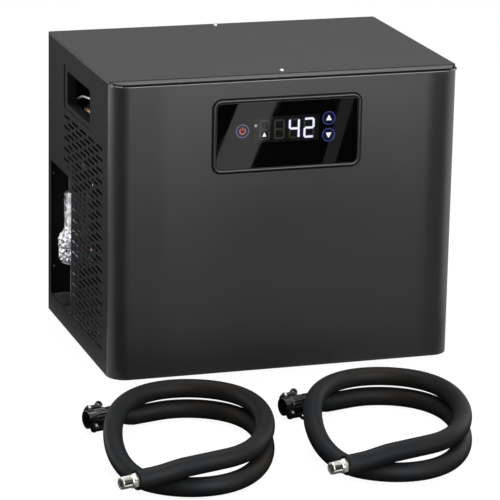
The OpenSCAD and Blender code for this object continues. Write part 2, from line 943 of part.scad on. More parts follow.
module compressor() {
  color(black_plastic) translate([comp_x, comp_y, comp_z]) {
    difference() {
      union() {
        translate([0, 0, plate_t]) compressor_half();
        translate([0, 0, plate_t + comp_h]) mirror([0, 0, 1]) compressor_half();
        cylinder(r = comp_r / 2, h = plate_t + comp_dome);
        for (s = weld_shares) translate([0, 0, s * comp_h])
          cylinder(r = comp_r + weld_out, h = weld_t);
        compressor_plate();
      }
      for (i = [0:mount_count - 1]) rotate([0, 0, 360 * (i + 1 / 2) / mount_count])
        translate([mount_reach, 0, -cut])
          cylinder(r = mount_neck + run_fit, h = plate_t + 2 * cut);
    }
    translate([0, 0, plate_t + comp_h - comp_dome])
      cylinder(r = terminal_r, h = terminal_h + comp_dome);
    translate([gas_stub_x - comp_x, 0, plate_t + comp_h - comp_dome])
      cylinder(r = gas_r + gas_stub_wall, h = gas_stub_top - comp_top + comp_dome);
  }
}

// The lower half of the shell, on its dome
module compressor_half() {
  intersection() {
    cylinder(r = comp_r, h = comp_h / 2);
    translate([0, 0, dome_r]) sphere(dome_r);
  }
}

module compressor_plate() {
  linear_extrude(plate_t) for (i = [0:mount_count - 1])
    rotate([0, 0, 360 * (i + 1 / 2) / mount_count]) {
      translate([0, -mount_r]) square([mount_reach, 2 * mount_r]);
      translate([mount_reach, 0]) circle(mount_r);
    }
}

module compressor_mounts() {
  color(black_rubber) at_mounts() translate([0, 0, floor_z]) difference() {
    union() {
      cylinder(r = mount_r, h = mount_h);
      cylinder(r = mount_neck, h = mount_h + plate_t + mount_cap);
      translate([0, 0, mount_h + plate_t]) cylinder(r = mount_cap_r, h = mount_cap);
    }
    translate([0, 0, -cut])
      cylinder(r = stud_r + stud_clear, h = mount_h + plate_t + mount_cap + 2 * cut);
  }
}

// A cap that stands on the dome round the terminals
module terminal_cover() {
  sag = dome_r - sqrt(dome_r * dome_r - (cap_r - cap_wall) * (cap_r - cap_wall));
  color(black_plastic) translate([comp_x, comp_y, comp_top - sag + seat]) difference() {
    cylinder(r = cap_r, h = cap_h);
    translate([0, 0, -cut]) cylinder(r = cap_r - cap_wall, h = cap_h - cap_wall + cut);
  }
}

// Foil-wrapped accumulator: a narrow neck on a wider body
module accumulator() {
  z1 = accu_bottom + accu_body;
  rim_share = 1 - accu_cap_share;
  color(foil) translate([accu_x, accu_y, 0]) rotate_extrude() polygon([
    [0, accu_bottom], [accu_r * accu_cap_share, accu_bottom],
    [accu_r, accu_bottom + accu_r * rim_share], [accu_r, z1], [neck_r, z1 + accu_shoulder],
    [neck_r, accu_top - neck_r * rim_share], [neck_r * accu_cap_share, accu_top], [0, accu_top]
  ]);
}

module accumulator_stand() {
  color(zinc) translate([accu_x, accu_y, 0]) {
    translate([-stand_plate / 2, -stand_plate / 2, floor_z]) cube([stand_plate, stand_plate, pan_t]);
    translate([0, 0, floor_z]) cylinder(r = stand_r, h = accu_bottom - floor_z);
    translate([0, 0, accu_bottom - pan_t]) cylinder(r = accu_r * accu_cap_share, h = pan_t);
  }
}

function fin_x(i) = fan_x - cond_w / 2 + cond_w * (i + 1 / 2) / fin_count;
function tube_z(i) = cond_z + tube_pitch * (i + 1 / 2);

module tube_holes(r) {
  for (i = [0:tube_count - 1]) translate([cond_y, tube_z(i)]) circle(r);
}

module condenser_fins() {
  color([0.7, 0.72, 0.74]) for (i = [0:fin_count - 1])
    along_x(fin_x(i) - fin_t / 2, fin_x(i) + fin_t / 2) difference() {
      translate([cond_front, cond_z]) square([cond_d, cond_h]);
      tube_holes(tube_r + run_fit);
    }
}

// One serpentine: straight tubes joined by half-turn bends
module condenser_tubes() {
  end = cond_w / 2 + end_t + tube_over;
  color(copper) {
    for (i = [0:tube_count - 1]) {
      left = i == 0 || i == tube_count - 1 ? open_end_x : fan_x - end;
      along_x(left, fan_x + end) translate([cond_y, tube_z(i)]) circle(tube_r);
    }
    for (i = [0:tube_count - 2]) {
      side = i % 2 == 0 ? 1 : -1;
      translate([fan_x + side * end, cond_y, tube_z(i) + tube_pitch / 2])
        rotate([90, side * 90, 0]) rotate_extrude(angle = 180)
          translate([tube_pitch / 2, 0]) circle(tube_r);
    }
  }
}

module condenser_end_plates() {
  color(zinc) for (side = [-1, 1]) {
    x0 = side < 0 ? fan_x - cond_w / 2 - end_t : fan_x + cond_w / 2;
    along_x(x0, x0 + end_t) difference() {
      translate([cond_front, cond_z]) square([cond_d, cond_h]);
      tube_holes(tube_r + run_fit);
    }
    fold_x = side < 0 ? x0 : x0 + end_t - end_fold;
    translate([fold_x, cond_front - end_t, cond_z]) cube([end_fold, end_t, cond_h]);
    translate([x0, cond_front - end_t, floor_z])
      cube([end_t, cond_d + end_t, cond_z - floor_z + cut]);
  }
}

// Square duct from the condenser to the rear panel, closed round the fan
module fan_shroud() {
  color(black_plastic) {
    along_y(shroud_front, shroud_back) difference() {
      translate([fan_x, fan_z]) square([shroud_w, shroud_h], center = true);
      translate([fan_x, fan_z])
        square([shroud_w - 2 * shroud_t, shroud_h - 2 * shroud_t], center = true);
    }
    along_y(shroud_back - shroud_t, shroud_back) difference() {
      translate([fan_x, fan_z]) square([shroud_w, shroud_h], center = true);
      translate([fan_x, fan_z]) circle(fan_r + fan_gap);
    }
  }
}

module fan_bracket() {
  w = shroud_w - 2 * (shroud_t + seat);
  color(zinc) {
    along_y(bracket_y, bracket_y + bracket_t) difference() {
      translate([fan_x, fan_z]) square([w, bracket_w], center = true);
      translate([fan_x, fan_z]) circle(shaft_r + seat);
    }
    for (side = [-1, 1]) translate([fan_x + side * (w - bracket_t) / 2, bracket_y, fan_z])
      translate([-bracket_t / 2, 0, -bracket_w / 2]) cube([bracket_t, bracket_w, bracket_w]);
  }
}

module fan_motor() {
  color(black_plastic) difference() {
    union() {
      along_y(motor_y, motor_y + motor_l) translate([fan_x, fan_z]) circle(motor_r);
      along_y(motor_y + motor_l - cut, motor_y + motor_l + motor_boss) translate([fan_x, fan_z])
        circle(2 * shaft_r);
    }
    along_y(motor_y + bracket_t, motor_y + motor_l + motor_boss + cut) translate([fan_x, fan_z])
      circle(shaft_r + run_fit);
  }
}

module fan_blade() {
  reach = fan_r - hub_r;
  color(black_plastic) {
    along_y(motor_y + bracket_t + seat, fan_y + hub_l) translate([fan_x, fan_z]) circle(shaft_r);
    along_y(fan_y, fan_y + hub_l) translate([fan_x, fan_z]) circle(hub_r);
    translate([fan_x, fan_y + hub_l / 2, fan_z]) rotate([90, 0, 0]) intersection() {
      for (i = [0:blade_count - 1]) rotate([0, 0, 360 * i / blade_count])
        translate([hub_r - 2 * blade_t, 0, 0]) rotate([blade_pitch, 0, 0])
          translate([0, -blade_w / 2, -blade_t / 2]) cube([2 * reach, blade_w, blade_t]);
      cylinder(r = fan_r, h = 2 * blade_w, center = true);
    }
  }
}

// Wire rings on four spokes, whose ends stand on the rear panel
module fan_guard() {
  ring = fan_r + fan_gap;
  start = guard_ring_shares[0] * ring;
  color(steel) {
    translate([fan_x, guard_y, fan_z]) rotate([90, 0, 0]) {
      for (s = guard_ring_shares) rotate_extrude() translate([s * ring, 0]) circle(guard_wire);
      for (i = [0:3]) rotate([0, 0, 45 * (2 * i + 1)]) rotate([0, 90, 0])
        translate([0, 0, start]) cylinder(r = spoke_r, h = guard_eye * sqrt(2) - start);
    }
    for (x = [-1, 1], z = [-1, 1])
      translate([fan_x + x * guard_eye, rear_out, fan_z + z * guard_eye]) rotate([-90, 0, 0])
        cylinder(r = 2 * guard_wire, h = guard_y - rear_out + guard_wire);
  }
}

// Evaporator: a water vessel with the refrigerant coil inside

module evaporator_vessel() {
  z0 = floor_z;
  color(black_rubber) difference() {
    union() {
      translate([evap_x, evap_y, z0]) cylinder(r = evap_r, h = evap_base + evap_h);
      for (z = [stub_low, stub_high]) translate([evap_x, evap_y, z])
        rotate([0, 90, 0]) cylinder(r = water_r, h = evap_r + stub_l);
    }
    translate([evap_x, evap_y, z0 + evap_base])
      cylinder(r = evap_r - evap_wall, h = evap_h + cut);
    for (z = [stub_low, stub_high]) translate([evap_x, evap_y, z])
      rotate([0, 90, 0]) cylinder(r = port_bore, h = evap_r + stub_l + cut);
  }
}

module evaporator_lid() {
  hole = evap_coil_tube + seat;
  color(black_plastic) translate([evap_x, evap_y, evap_top]) difference() {
    cylinder(r = evap_r + lid_over, h = lid_t);
    translate([evap_coil_r, 0, -cut]) cylinder(r = hole, h = lid_t + 2 * cut);
    translate([0, 0, -cut]) cylinder(r = hole, h = lid_t + 2 * cut);
  }
}

// Down the middle, out in a flat spiral, up in turns and out through the lid
evap_coil_route = concat(
  [[0, 0, evap_coil_out], [0, 0, evap_coil_low + evap_coil_r]],
  [for (a = [-150:2 * ring_step:-2 * ring_step]) let(r = evap_coil_r * (1 + a / 180)) [
    r * cos(a), r * sin(a), evap_coil_low + 2 * evap_coil_tube * (a / 150) ^ 2]],
  [for (a = [0:ring_step:360 * evap_coil_turns]) [
    evap_coil_r * cos(a), evap_coil_r * sin(a), evap_coil_low + evap_coil_pitch * a / 360]],
  [[evap_coil_r, evap_coil_tube, evap_coil_low + evap_coil_pitch * (evap_coil_turns + 1 / 4)]],
  [[evap_coil_r, 0, evap_top - evap_coil_tube], [evap_coil_r, 0, evap_coil_out]]);
echo(evaporator_coil_gap = least_gap(evap_coil_route, 2 * evap_coil_tube, 12));

module evaporator_coil() {
  color(steel) translate([evap_x, evap_y, 0])
    tube(evap_coil_route, evap_coil_tube, 6, [1, 0, 0]);
}

// Refrigerant pipes

hot_gas_route = bend([
  [gas_stub_x, comp_y, gas_stub_top],
  [gas_stub_x, comp_y, max(gas_line - 2 * gas_r, gas_stub_top + bend_r + seat)],
  [side_line, cond_front - cond_d, gas_line],
  [open_end_x - 2 * pipe_gap, cond_y, tube_z(tube_count - 1)],
  [open_end_x, cond_y, tube_z(tube_count - 1)]
], bend_r);

module hot_gas_pipe() {
  color(copper) tube(hot_gas_route, gas_r, pipe_sides, [1, 0, 0]);
}

liquid_route = bend([
  [open_end_x, cond_y, tube_z(0)], [drier_x, cond_y, tube_z(0)],
  [drier_x, drier_y, drier_low - 2 * liquid_r], [drier_x, drier_y, drier_low]
], liquid_r);

module liquid_pipe() {
  color(copper) tube(liquid_route, liquid_r, pipe_sides, [0, 0, 1]);
}

module filter_drier() {
  color(copper) translate([drier_x, drier_y, drier_low]) rotate_extrude() polygon([
    [0, 0], [liquid_r, 0], [drier_r, drier_r], [drier_r, drier_l - drier_r],
    [capillary_r * 2, drier_l], [0, drier_l]
  ]);
}

// Up beside the neck, forward above the hot-gas pipe and over to the evaporator
capillary_side = accu_x - suction_r - pipe_gap / 2;
capillary_route = bend([
  [drier_x, drier_y, drier_low + drier_l], [drier_x, drier_y, drier_low + drier_l + drier_r],
  [capillary_side, accu_y - 2 * suction_r, (drier_low + drier_l + gas_line) / 2],
  [capillary_side, accu_y + suction_r, gas_line - 2 * gas_r],
  [side_line - capillary_r, cond_front - cond_d / 2, capillary_line],
  [accu_x + accu_r, comp_y - bend_r, capillary_line + capillary_r],
  [evap_x, evap_y - bend_r, gas_line],
  [evap_x, evap_y, evap_coil_out + bend_r], [evap_x, evap_y, evap_coil_out]
], 4 * capillary_r);

module capillary_tube() {
  color(copper) tube(capillary_route, capillary_r, 6, [1, 0, 0]);
}

suction_route = bend([
  [evap_x + evap_coil_r, evap_y, evap_coil_out], [evap_x + evap_coil_r, evap_y, suction_line],
  [evap_x + evap_coil_r, suction_back, suction_line], [accu_x, suction_back, suction_line],
  [accu_x, accu_y, suction_line - pipe_gap], [accu_x, accu_y, accu_top]
], bend_r);

module suction_pipe() {
  color(black_rubber) tube(suction_route, suction_r, pipe_sides, [1, 0, 0]);
}

// Water circuit

module pump_housing() {
  color(black_plastic) difference() {
    union() {
      along_y(pump_front, pump_rear) translate([port_x, pump_z]) circle(volute_r);
      along_y(pump_rear, pump_rear + stub_l) translate([port_x, pump_z]) circle(water_r);
      translate([delivery_x, pump_front + volute_d / 2, pump_z])
        cylinder(r = water_r, h = delivery_top - pump_z);
      translate([port_x - pump_foot_w / 2, pump_front, floor_z])
        cube([pump_foot_w, volute_d, pump_z - floor_z]);
    }
    along_y(pump_front - cut, pump_rear - volute_wall) translate([port_x, pump_z])
      circle(volute_r - volute_wall);
    along_y(pump_front, pump_rear + stub_l + cut) translate([port_x, pump_z]) circle(port_bore);
    translate([delivery_x, pump_front + volute_d / 2, pump_z])
      cylinder(r = port_bore, h = delivery_top - pump_z + cut);
  }
}

module pump_motor() {
  color(steel) {
    along_y(pump_front - volute_wall, pump_front) translate([port_x, pump_z]) circle(volute_r);
    along_y(pump_front - volute_wall - pump_motor_l, pump_front - volute_wall)
      translate([port_x, pump_z]) circle(pump_motor_r);
    along_y(pump_front - cut, pump_rear - volute_wall - 4 * seat) translate([port_x, pump_z])
      circle(pump_shaft_r);
    translate([port_x - pump_foot_w / 2, pump_front - pump_motor_l, floor_z])
      cube([pump_foot_w, pump_foot, pump_z - floor_z]);
  }
}

module pump_impeller() {
  y0 = pump_front + 2 * seat;
  color(white_plastic) difference() {
    union() {
      along_y(y0, y0 + impeller_t) translate([port_x, pump_z]) circle(impeller_r);
      along_y(y0, y0 + impeller_t + vane_h) translate([port_x, pump_z])
        circle(2 * pump_shaft_r);
      translate([port_x, y0 + impeller_t + vane_h, pump_z]) rotate([90, 0, 0])
        linear_extrude(vane_h + impeller_t / 2) intersection() {
          circle(impeller_r);
          for (i = [0:vane_count - 1]) rotate([0, 0, 360 * i / vane_count])
            translate([pump_shaft_r * 3 / 2, pump_shaft_r]) rotate([0, 0, -blade_pitch])
              square([impeller_r, vane_t]);
        }
    }
    along_y(y0 - cut, y0 + impeller_t + vane_h + cut) translate([port_x, pump_z])
      circle(pump_shaft_r + run_fit);
  }
}

module inlet_pipe() {
  color(black_rubber) along_y(pump_rear + stub_l, port_tail_y) translate([port_x, pump_z])
    circle(water_r);
}

delivery_route = bend([
  [delivery_x, pump_front + volute_d / 2, delivery_top],
  [delivery_x, pump_front + volute_d / 2, stub_high],
  [delivery_x, evap_y, stub_high], [evap_x + evap_r + stub_l, evap_y, stub_high]
], bend_r);

module delivery_pipe() {
  color(black_rubber) tube(delivery_route, water_r, pipe_sides, [1, 0, 0]);
}

outlet_route = bend([
  [evap_x + evap_r + stub_l, evap_y, stub_low], [port_x + 2 * bend_r, evap_y, stub_low],
  [port_x + 2 * bend_r, evap_y + 2 * bend_r, outlet_z],
  [port_x + 2 * bend_r, port_tail_y - 3 * bend_r, outlet_z],
  [port_x, port_tail_y - bend_r, outlet_z], [port_x, port_tail_y, outlet_z]
], bend_r - 2 * run_fit);

module outlet_pipe() {
  color(black_rubber) tube(outlet_route, water_r, pipe_sides, [0, 0, 1]);
}

// Bulkhead ports: a cam adapter outside, a thread through the panel and a tail inside
module water_ports() {
  end = rear_y + port_out;
  groove_y = end - 3 * port_groove_l / 2 - port_groove_l;
  color(steel) for (z = [pump_z, outlet_z]) translate([port_x, 0, z]) difference() {
    union() {
      along_y(port_tail_y, rear_in) circle(water_r);
      along_y(rear_in - port_nut_t - sheet, rear_out) circle(port_thread_r);
      along_y(rear_out, rear_out + port_collar_t) circle(port_collar_r);
      along_y(rear_out, end) circle(port_r);
    }
    along_y(groove_y, groove_y + port_groove_l) difference() {
      circle(port_r + cut);
      circle(port_r - port_groove);
    }
    along_y(port_tail_y - cut, end + cut) circle(port_bore);
  }
}

module port_nuts() {
  color(steel) for (z = [pump_z, outlet_z])
    along_y(rear_in - port_nut_t, rear_in) translate([port_x, z]) difference() {
      circle(port_collar_r, $fn = 6);
      circle(port_thread_r + run_fit);
    }
}

// Hoses

function drop(a) = ease((a - drop_start) / (drop_end - drop_start));
function slide(a) = ease((a - slide_start) / (slide_end - slide_start));
function coil_point(a) = let(up = 1 - slide(a)) [
  coil_x * cos(a) * (1 + coil_square_share * sin(a) ^ 2),
  (coil_y - coil_draw * up) * sin(a) * (1 + coil_square_share * cos(a) ^ 2) + coil_shift * up,
  low_z + coil_rise * (1 - drop(a))
];
coil_in = unit(coil_point(coil_start + 1) - coil_point(coil_start));
coil_out = unit(coil_point(coil_end) - coil_point(coil_end - 1));
coil_rings = round((coil_end - coil_start) / ring_step);
last_share = (tail_rings - 1) / tail_rings;
hose_route = concat(
  [for (i = [tail_rings:-1:1]) let(s = i / tail_rings)
    coil_point(coil_start) - coil_in * nipple_tail * s
      - [0, 0, nipple_dip * ease((s - 1 + dip_share) / (last_share - 1 + dip_share))]],
  [for (i = [0:coil_rings]) coil_point(coil_start + (coil_end - coil_start) * i / coil_rings)],
  [for (i = [1:tail_rings]) let(s = i / tail_rings)
    coil_point(coil_end) + coil_out * coupler_tail * s
      + [0, 0, coupler_lift * ease((2 * s - 1) / (2 * last_share - 1))]]);
echo(hose_gap = least_gap(hose_route, hose_d, 6));

nipple_end = hose_route[0];
nipple_dir = unit(hose_route[0] - hose_route[1]);
coupler_end = hose_route[len(hose_route) - 1];
coupler_dir = unit(coupler_end - hose_route[len(hose_route) - 2]);

module at_hose(i) {
  translate([hose_places[i][0], hose_places[i][1], 0]) rotate([0, 0, coil_turn]) children();
}

// Turns its children's +X along a level direction at a point
module aim(at, dir) {
  translate(at) rotate([0, 0, atan2(dir[1], dir[0])]) children();
}

module hose(i) {
  color(black_rubber) at_hose(i) tube(hose_route, hose_r, hose_sides, [0, 0, 1]);
}

module nipple(i) {
  color(steel) at_hose(i) aim(nipple_end, nipple_dir) rotate([0, 90, 0]) difference() {
    union() {
      cylinder(r = collar_r, h = collar_l, $fn = 6);
      cylinder(r = thread_r, h = collar_l + thread_l);
    }
    translate([0, 0, -cut]) cylinder(r = nipple_bore, h = collar_l + thread_l + 2 * cut);
  }
}

module at_coupler(i) {
  at_hose(i) aim(coupler_end, coupler_dir) rotate([lever_roll, 0, 0]) children();
}

// A cam socket: a slot, two ears and a pin above and below hold its levers
module coupler(i) {
  color(black_plastic) at_coupler(i) {
    difference() {
      union() {
        rotate([0, 90, 0]) cylinder(r = coupler_r, h = coupler_l);
        for (s = [-1, 1], y = [-ear_y - ear_t, ear_y]) {
          translate([pin_x - ear_r, y, s < 0 ? -pin_z : 0]) cube([2 * ear_r, ear_t, pin_z]);
          translate([pin_x, y + ear_t, s * pin_z]) rotate([90, 0, 0])
            cylinder(r = ear_r, h = ear_t);
        }
      }
      translate([coupler_l - mouth_l, 0, 0]) rotate([0, 90, 0])
        cylinder(r = coupler_bore, h = mouth_l + cut);
      translate([gasket_x, 0, 0]) rotate([0, 90, 0])
        cylinder(r = gasket_seat_r, h = coupler_l - gasket_x);
      translate([-cut, 0, 0]) rotate([0, 90, 0]) cylinder(r = port_bore, h = coupler_l);
      for (s = [-1, 1]) translate([pin_x, 0, s * coupler_r]) cube([
        2 * (cam_r + ear_gap), 2 * ear_y, 2 * (coupler_r - coupler_bore) + seat
      ], center = true);
    }
    for (s = [-1, 1]) translate([pin_x, 0, s * pin_z]) rotate([90, 0, 0])
      cylinder(r = pin_r, h = 2 * (ear_y + ear_t), center = true);
  }
}

// A lever lies back along the coupler: its cam is on the pin, its finger ring behind
module lever(i, side) {
  out = side * (pin_r + ring_r / 2);
  color(black_plastic) at_coupler(i) translate([pin_x, 0, side * pin_z])
    rotate([90, 0, 0]) difference() {
      union() {
        cylinder(r = cam_r - seat, h = lever_w, center = true);
        translate([-lever_l / 2, side * pin_r, 0])
          cube([lever_l, lever_t, lever_w], center = true);
        translate([-lever_l, out, 0]) cylinder(r = ring_r, h = lever_w / 2, center = true);
      }
      cylinder(r = pin_r + run_fit, h = 2 * lever_w, center = true);
      translate([-lever_l, out, 0]) cylinder(r = ring_hole, h = 2 * lever_w, center = true);
    }
}

module gasket(i) {
  color(black_rubber) at_coupler(i) translate([gasket_x, 0, 0])
    rotate([0, 90, 0]) difference() {
      cylinder(r = gasket_r, h = gasket_t);
      translate([0, 0, -cut]) cylinder(r = gasket_bore, h = gasket_t + 2 * cut);
    }
}

base_pan();
rubber_feet();
front_ledge();
front_fascia();
top_cover();
left_side_panel();
right_side_panel();
rear_panel();
grip_frames();
cabinet_screws();
display_bezel();
display_glass();
display_board();
digit_module();
control_box();
control_board();
run_capacitor();
cable_gland();
compressor();
compressor_mounts();
terminal_cover();
accumulator();
accumulator_stand();
condenser_fins();
condenser_tubes();
condenser_end_plates();
fan_shroud();
fan_motor();
fan_bracket();
fan_blade();
fan_guard();
evaporator_vessel();
evaporator_lid();
evaporator_coil();
hot_gas_pipe();
liquid_pipe();
filter_drier();
capillary_tube();
suction_pipe();
pump_housing();
pump_motor();
pump_impeller();
inlet_pipe();
delivery_pipe();
outlet_pipe();
water_ports();
port_nuts();
hose(0);  // hose_1
nipple(0);  // hose_1_nipple
coupler(0);  // hose_1_coupler
gasket(0);  // hose_1_gasket
lever(0, 1);  // hose_1_upper_lever
lever(0, -1);  // hose_1_lower_lever
hose(1);  // hose_2
nipple(1);  // hose_2_nipple
coupler(1);  // hose_2_coupler
gasket(1);  // hose_2_gasket
lever(1, 1);  // hose_2_upper_lever
lever(1, -1);  // hose_2_lower_lever
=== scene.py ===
import bpy
import bmesh
import math
from mathutils import Matrix, Vector, noise


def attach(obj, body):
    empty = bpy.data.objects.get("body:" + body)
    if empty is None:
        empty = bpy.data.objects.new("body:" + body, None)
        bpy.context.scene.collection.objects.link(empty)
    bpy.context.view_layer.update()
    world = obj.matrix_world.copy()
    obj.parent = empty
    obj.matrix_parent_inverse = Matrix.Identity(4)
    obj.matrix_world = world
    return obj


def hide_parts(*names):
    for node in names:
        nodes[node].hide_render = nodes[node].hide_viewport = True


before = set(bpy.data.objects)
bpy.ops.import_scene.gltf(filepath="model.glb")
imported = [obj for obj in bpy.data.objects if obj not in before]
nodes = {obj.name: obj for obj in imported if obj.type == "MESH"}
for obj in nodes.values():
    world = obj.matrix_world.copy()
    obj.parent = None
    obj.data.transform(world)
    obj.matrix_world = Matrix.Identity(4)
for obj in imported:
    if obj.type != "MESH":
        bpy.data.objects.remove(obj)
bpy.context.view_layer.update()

# The view of the photograph: from the chiller's left and a little above it, through a long lens.
# Its place and its turn follow from seven corners of the cabinet.
scene = bpy.context.scene


def new_object(name, data):
    """An object in the scene that holds this data."""
    made = bpy.data.objects.new(name, data)
    scene.collection.objects.link(made)
    return made


lens = bpy.data.cameras.new("camera")
lens.lens = 216
lens.sensor_width = 36
lens.clip_end = 100
camera = new_object("camera", lens)
eye = (-1.15620, -3.57245, 1.18767)
ahead = Vector((0.29781, 0.91387, -0.27595)).normalized()
rightward = Vector((0.95229, -0.30461, 0.01895)).normalized()
upward = rightward.cross(ahead)
turned = Matrix((rightward, upward, -ahead)).transposed().to_4x4()
camera.matrix_world = Matrix.Translation(eye) @ turned
scene.camera = camera

# Hoses: two lengths of black rubber hose in a smooth foam jacket, 22.6 mm thick. Each lies on the
# floor in an oval coil of one and a half turns, and its upper turn comes down onto the lower one.
mm = 0.001


class Wire:
    """A socket of a node tree. Sums on it add Math nodes, and node() adds any other node."""

    def __init__(self, tree, socket=None):
        self.tree = tree
        self.socket = socket

    def node(self, kind, settings=None, sockets=None, output=0):
        """Adds a node: its settings first, then the values or links of its sockets."""
        made = self.tree.nodes.new(kind)
        for name, value in (settings or {}).items():
            setattr(made, name, value)
        for name, value in (sockets or {}).items():
            for one in value if isinstance(value, list) else [value]:
                if isinstance(one, Wire):
                    self.tree.links.new(one.socket, made.inputs[name])
                else:
                    made.inputs[name].default_value = one
        return Wire(self.tree, made.outputs[output]) if made.outputs else None

    def out(self, name):
        """Another output of the same node."""
        return Wire(self.tree, self.socket.node.outputs[name])

    def maths(self, operation, first, second):
        return self.node("ShaderNodeMath", {"operation": operation}, {0: first, 1: second})

    def __add__(self, other):
        return self.maths("ADD", self, other)

    def __sub__(self, other):
        return self.maths("SUBTRACT", self, other)

    def __rsub__(self, other):
        return self.maths("SUBTRACT", other, self)

    def __mul__(self, other):
        return self.maths("MULTIPLY", self, other)

    def __truediv__(self, other):
        return self.maths("DIVIDE", self, other)

    __radd__ = __add__
    __rmul__ = __mul__

    def axis(self, letter):
        return self.node("ShaderNodeSeparateXYZ", {}, {0: self}).out(letter)

    def sine(self):
        return self.node("ShaderNodeMath", {"operation": "SINE"}, {0: self})

    def cloud(self, scale, detail=2.0):
        """Noise, from 0 to 1, in the place that this socket gives."""
        return self.node("ShaderNodeTexNoise", {}, {"Vector": self, "Scale": scale, "Detail": detail})

    def between(self, low, high, to_low=0.0, to_high=1.0):
        """Stretches the span from low to high, and cuts what is past it."""
        span = {"Value": self, "From Min": low, "From Max": high, "To Min": to_low, "To Max": to_high}
        return self.node("ShaderNodeMapRange", {"clamp": True}, span)

    def mix(self, first, second):
        """A colour from first to second, by this socket."""
        colours = [c if isinstance(c, Wire) else (*c, 1.0) for c in (first, second)]
        # The node has pairs for numbers and vectors too: its colours are inputs 6 and 7, and output 2
        blend = {"Factor": self, 6: colours[0], 7: colours[1]}
        return self.node("ShaderNodeMix", {"data_type": "RGBA"}, blend, output=2)


def bare_finish(name):
    """A finish with no nodes yet, and a wire to begin them from."""
    made = bpy.data.materials.new(name)
    made.use_nodes = True
    made.node_tree.nodes.clear()
    return made, Wire(made.node_tree)


def new_finish(name):
    """A finish that begins with the place on its object, which its patterns follow."""
    made, start = bare_finish(name)
    return made, start.node("ShaderNodeTexCoord").out("Object")


def surface(place, colour, rough, height=None, deep=0.0, even=None):
    """Ends a finish: what varies over it comes in wires, and what is even is set on the shader."""
    sockets = {"Base Color": colour, "Roughness": rough}
    if height is not None:
        sockets["Normal"] = place.node("ShaderNodeBump", {}, {"Height": height, "Distance": deep})
    sockets.update(even or {})
    shader = place.node("ShaderNodeBsdfPrincipled", {}, sockets)
    place.node("ShaderNodeOutputMaterial", {}, {"Surface": shader})


def tree_for_geometry(name, inputs):
    """A geometry tree with these named inputs, and wires to its inputs."""
    tree = bpy.data.node_groups.new(name, "GeometryNodeTree")
    tree.interface.new_socket("Geometry", in_out="INPUT", socket_type="NodeSocketGeometry")
    for title, kind in inputs.items():
        tree.interface.new_socket(title, in_out="INPUT", socket_type="NodeSocket" + kind)
    tree.interface.new_socket("Geometry", in_out="OUTPUT", socket_type="NodeSocketGeometry")
    return tree, Wire(tree).node("NodeGroupInput")


def end_tree(ins, geometry):
    """Ends a tree: its copies become real faces, and all of it takes the finish."""
    whole = ins.node("GeometryNodeRealizeInstances", {}, {"Geometry": geometry})
    done = ins.node("GeometryNodeSetMaterial", {}, {"Geometry": whole, "Material": ins.out("Finish")})
    ins.node("NodeGroupOutput", {}, {"Geometry": done})


def plain_piece(name, seed):
    """What a seed's modifiers make of it, as a plain mesh piece in its place."""
    bpy.context.view_layer.update()
    depsgraph = bpy.context.evaluated_depsgraph_get()
    mesh = bpy.data.meshes.new_from_object(seed.evaluated_get(depsgraph), depsgraph=depsgraph)
    bpy.data.objects.remove(seed)
    return new_object(name, mesh)


def grown(name, data, tree, values):
    """Runs a geometry tree on a mesh or a curve, and keeps the result as a piece."""
    seed = new_object(name + "_seed", data)
    change = seed.modifiers.new(tree.name, "NODES")
    change.node_group = tree
    for item in tree.interface.items_tree:
        if item.in_out == "INPUT" and item.name in values:
            change[item.identifier] = values[item.name]
    seed.update_tag()
    return plain_piece(name, seed)


def fitted(piece, body, slot, *stood_for):
    """Lets a piece ride on its body, in place of the solids that it stands for. Its slot is not used.
    """
    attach(piece, body)
    if stood_for:
        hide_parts(*stood_for)
    return piece


# A round tube along a line: hoses and pipes are all drawn this way, closed at both ends
tube_tree, ins = tree_for_geometry(
    "round_tube", {"Radius": "Float", "Sides": "Int", "Finish": "Material"}
)
round_section = {"Resolution": ins.out("Sides"), "Radius": ins.out("Radius")}
ring = ins.node("GeometryNodeCurvePrimitiveCircle", {}, round_section)
drawn = {"Curve": ins.out("Geometry"), "Profile Curve": ring, "Fill Caps": True}
tube = ins.node("GeometryNodeCurveToMesh", {}, drawn)
end_tree(ins, ins.node("GeometryNodeSetShadeSmooth", {}, {"Geometry": tube}))


def tube_along(name, points, radius, sides, finish):
    """A tube piece along points, in metres."""
    line = bpy.data.curves.new(name + "_line", "CURVE")
    line.dimensions = "3D"
    spline = line.splines.new("POLY")
    spline.points.add(len(points) - 1)
    for spot, at in zip(spline.points, points):
        spot.co = (*at, 1.0)
    return grown(name, line, tube_tree, {"Radius": radius, "Sides": sides, "Finish": finish})


def eased(t):
    """From 0 to 1, with a soft start and end."""
    t = min(max(t, 0.0), 1.0)
    return t * t * (3 - 2 * t)


hose_radius = 11.3
coil_start = -62
coil_end = 476
coil_step = 4
coil_half_width = 88
coil_half_length = 134
coil_fullness = 0.08
upper_turn = 23.6


def coil_point(angle):
    """A point of the coil, before it is turned and put in its place, in millimetres."""
    a = math.radians(angle)
    up = 1 - eased((angle - 90) / 200)
    fall = eased((angle - 154) / 91)
    x = coil_half_width * math.cos(a) * (1 + coil_fullness * math.sin(a) ** 2)
    y = (coil_half_length - 6 * up) * math.sin(a) * (1 + coil_fullness * math.cos(a) ** 2) + 12 * up
    return Vector((x, y, hose_radius + upper_turn * (1 - fall)))


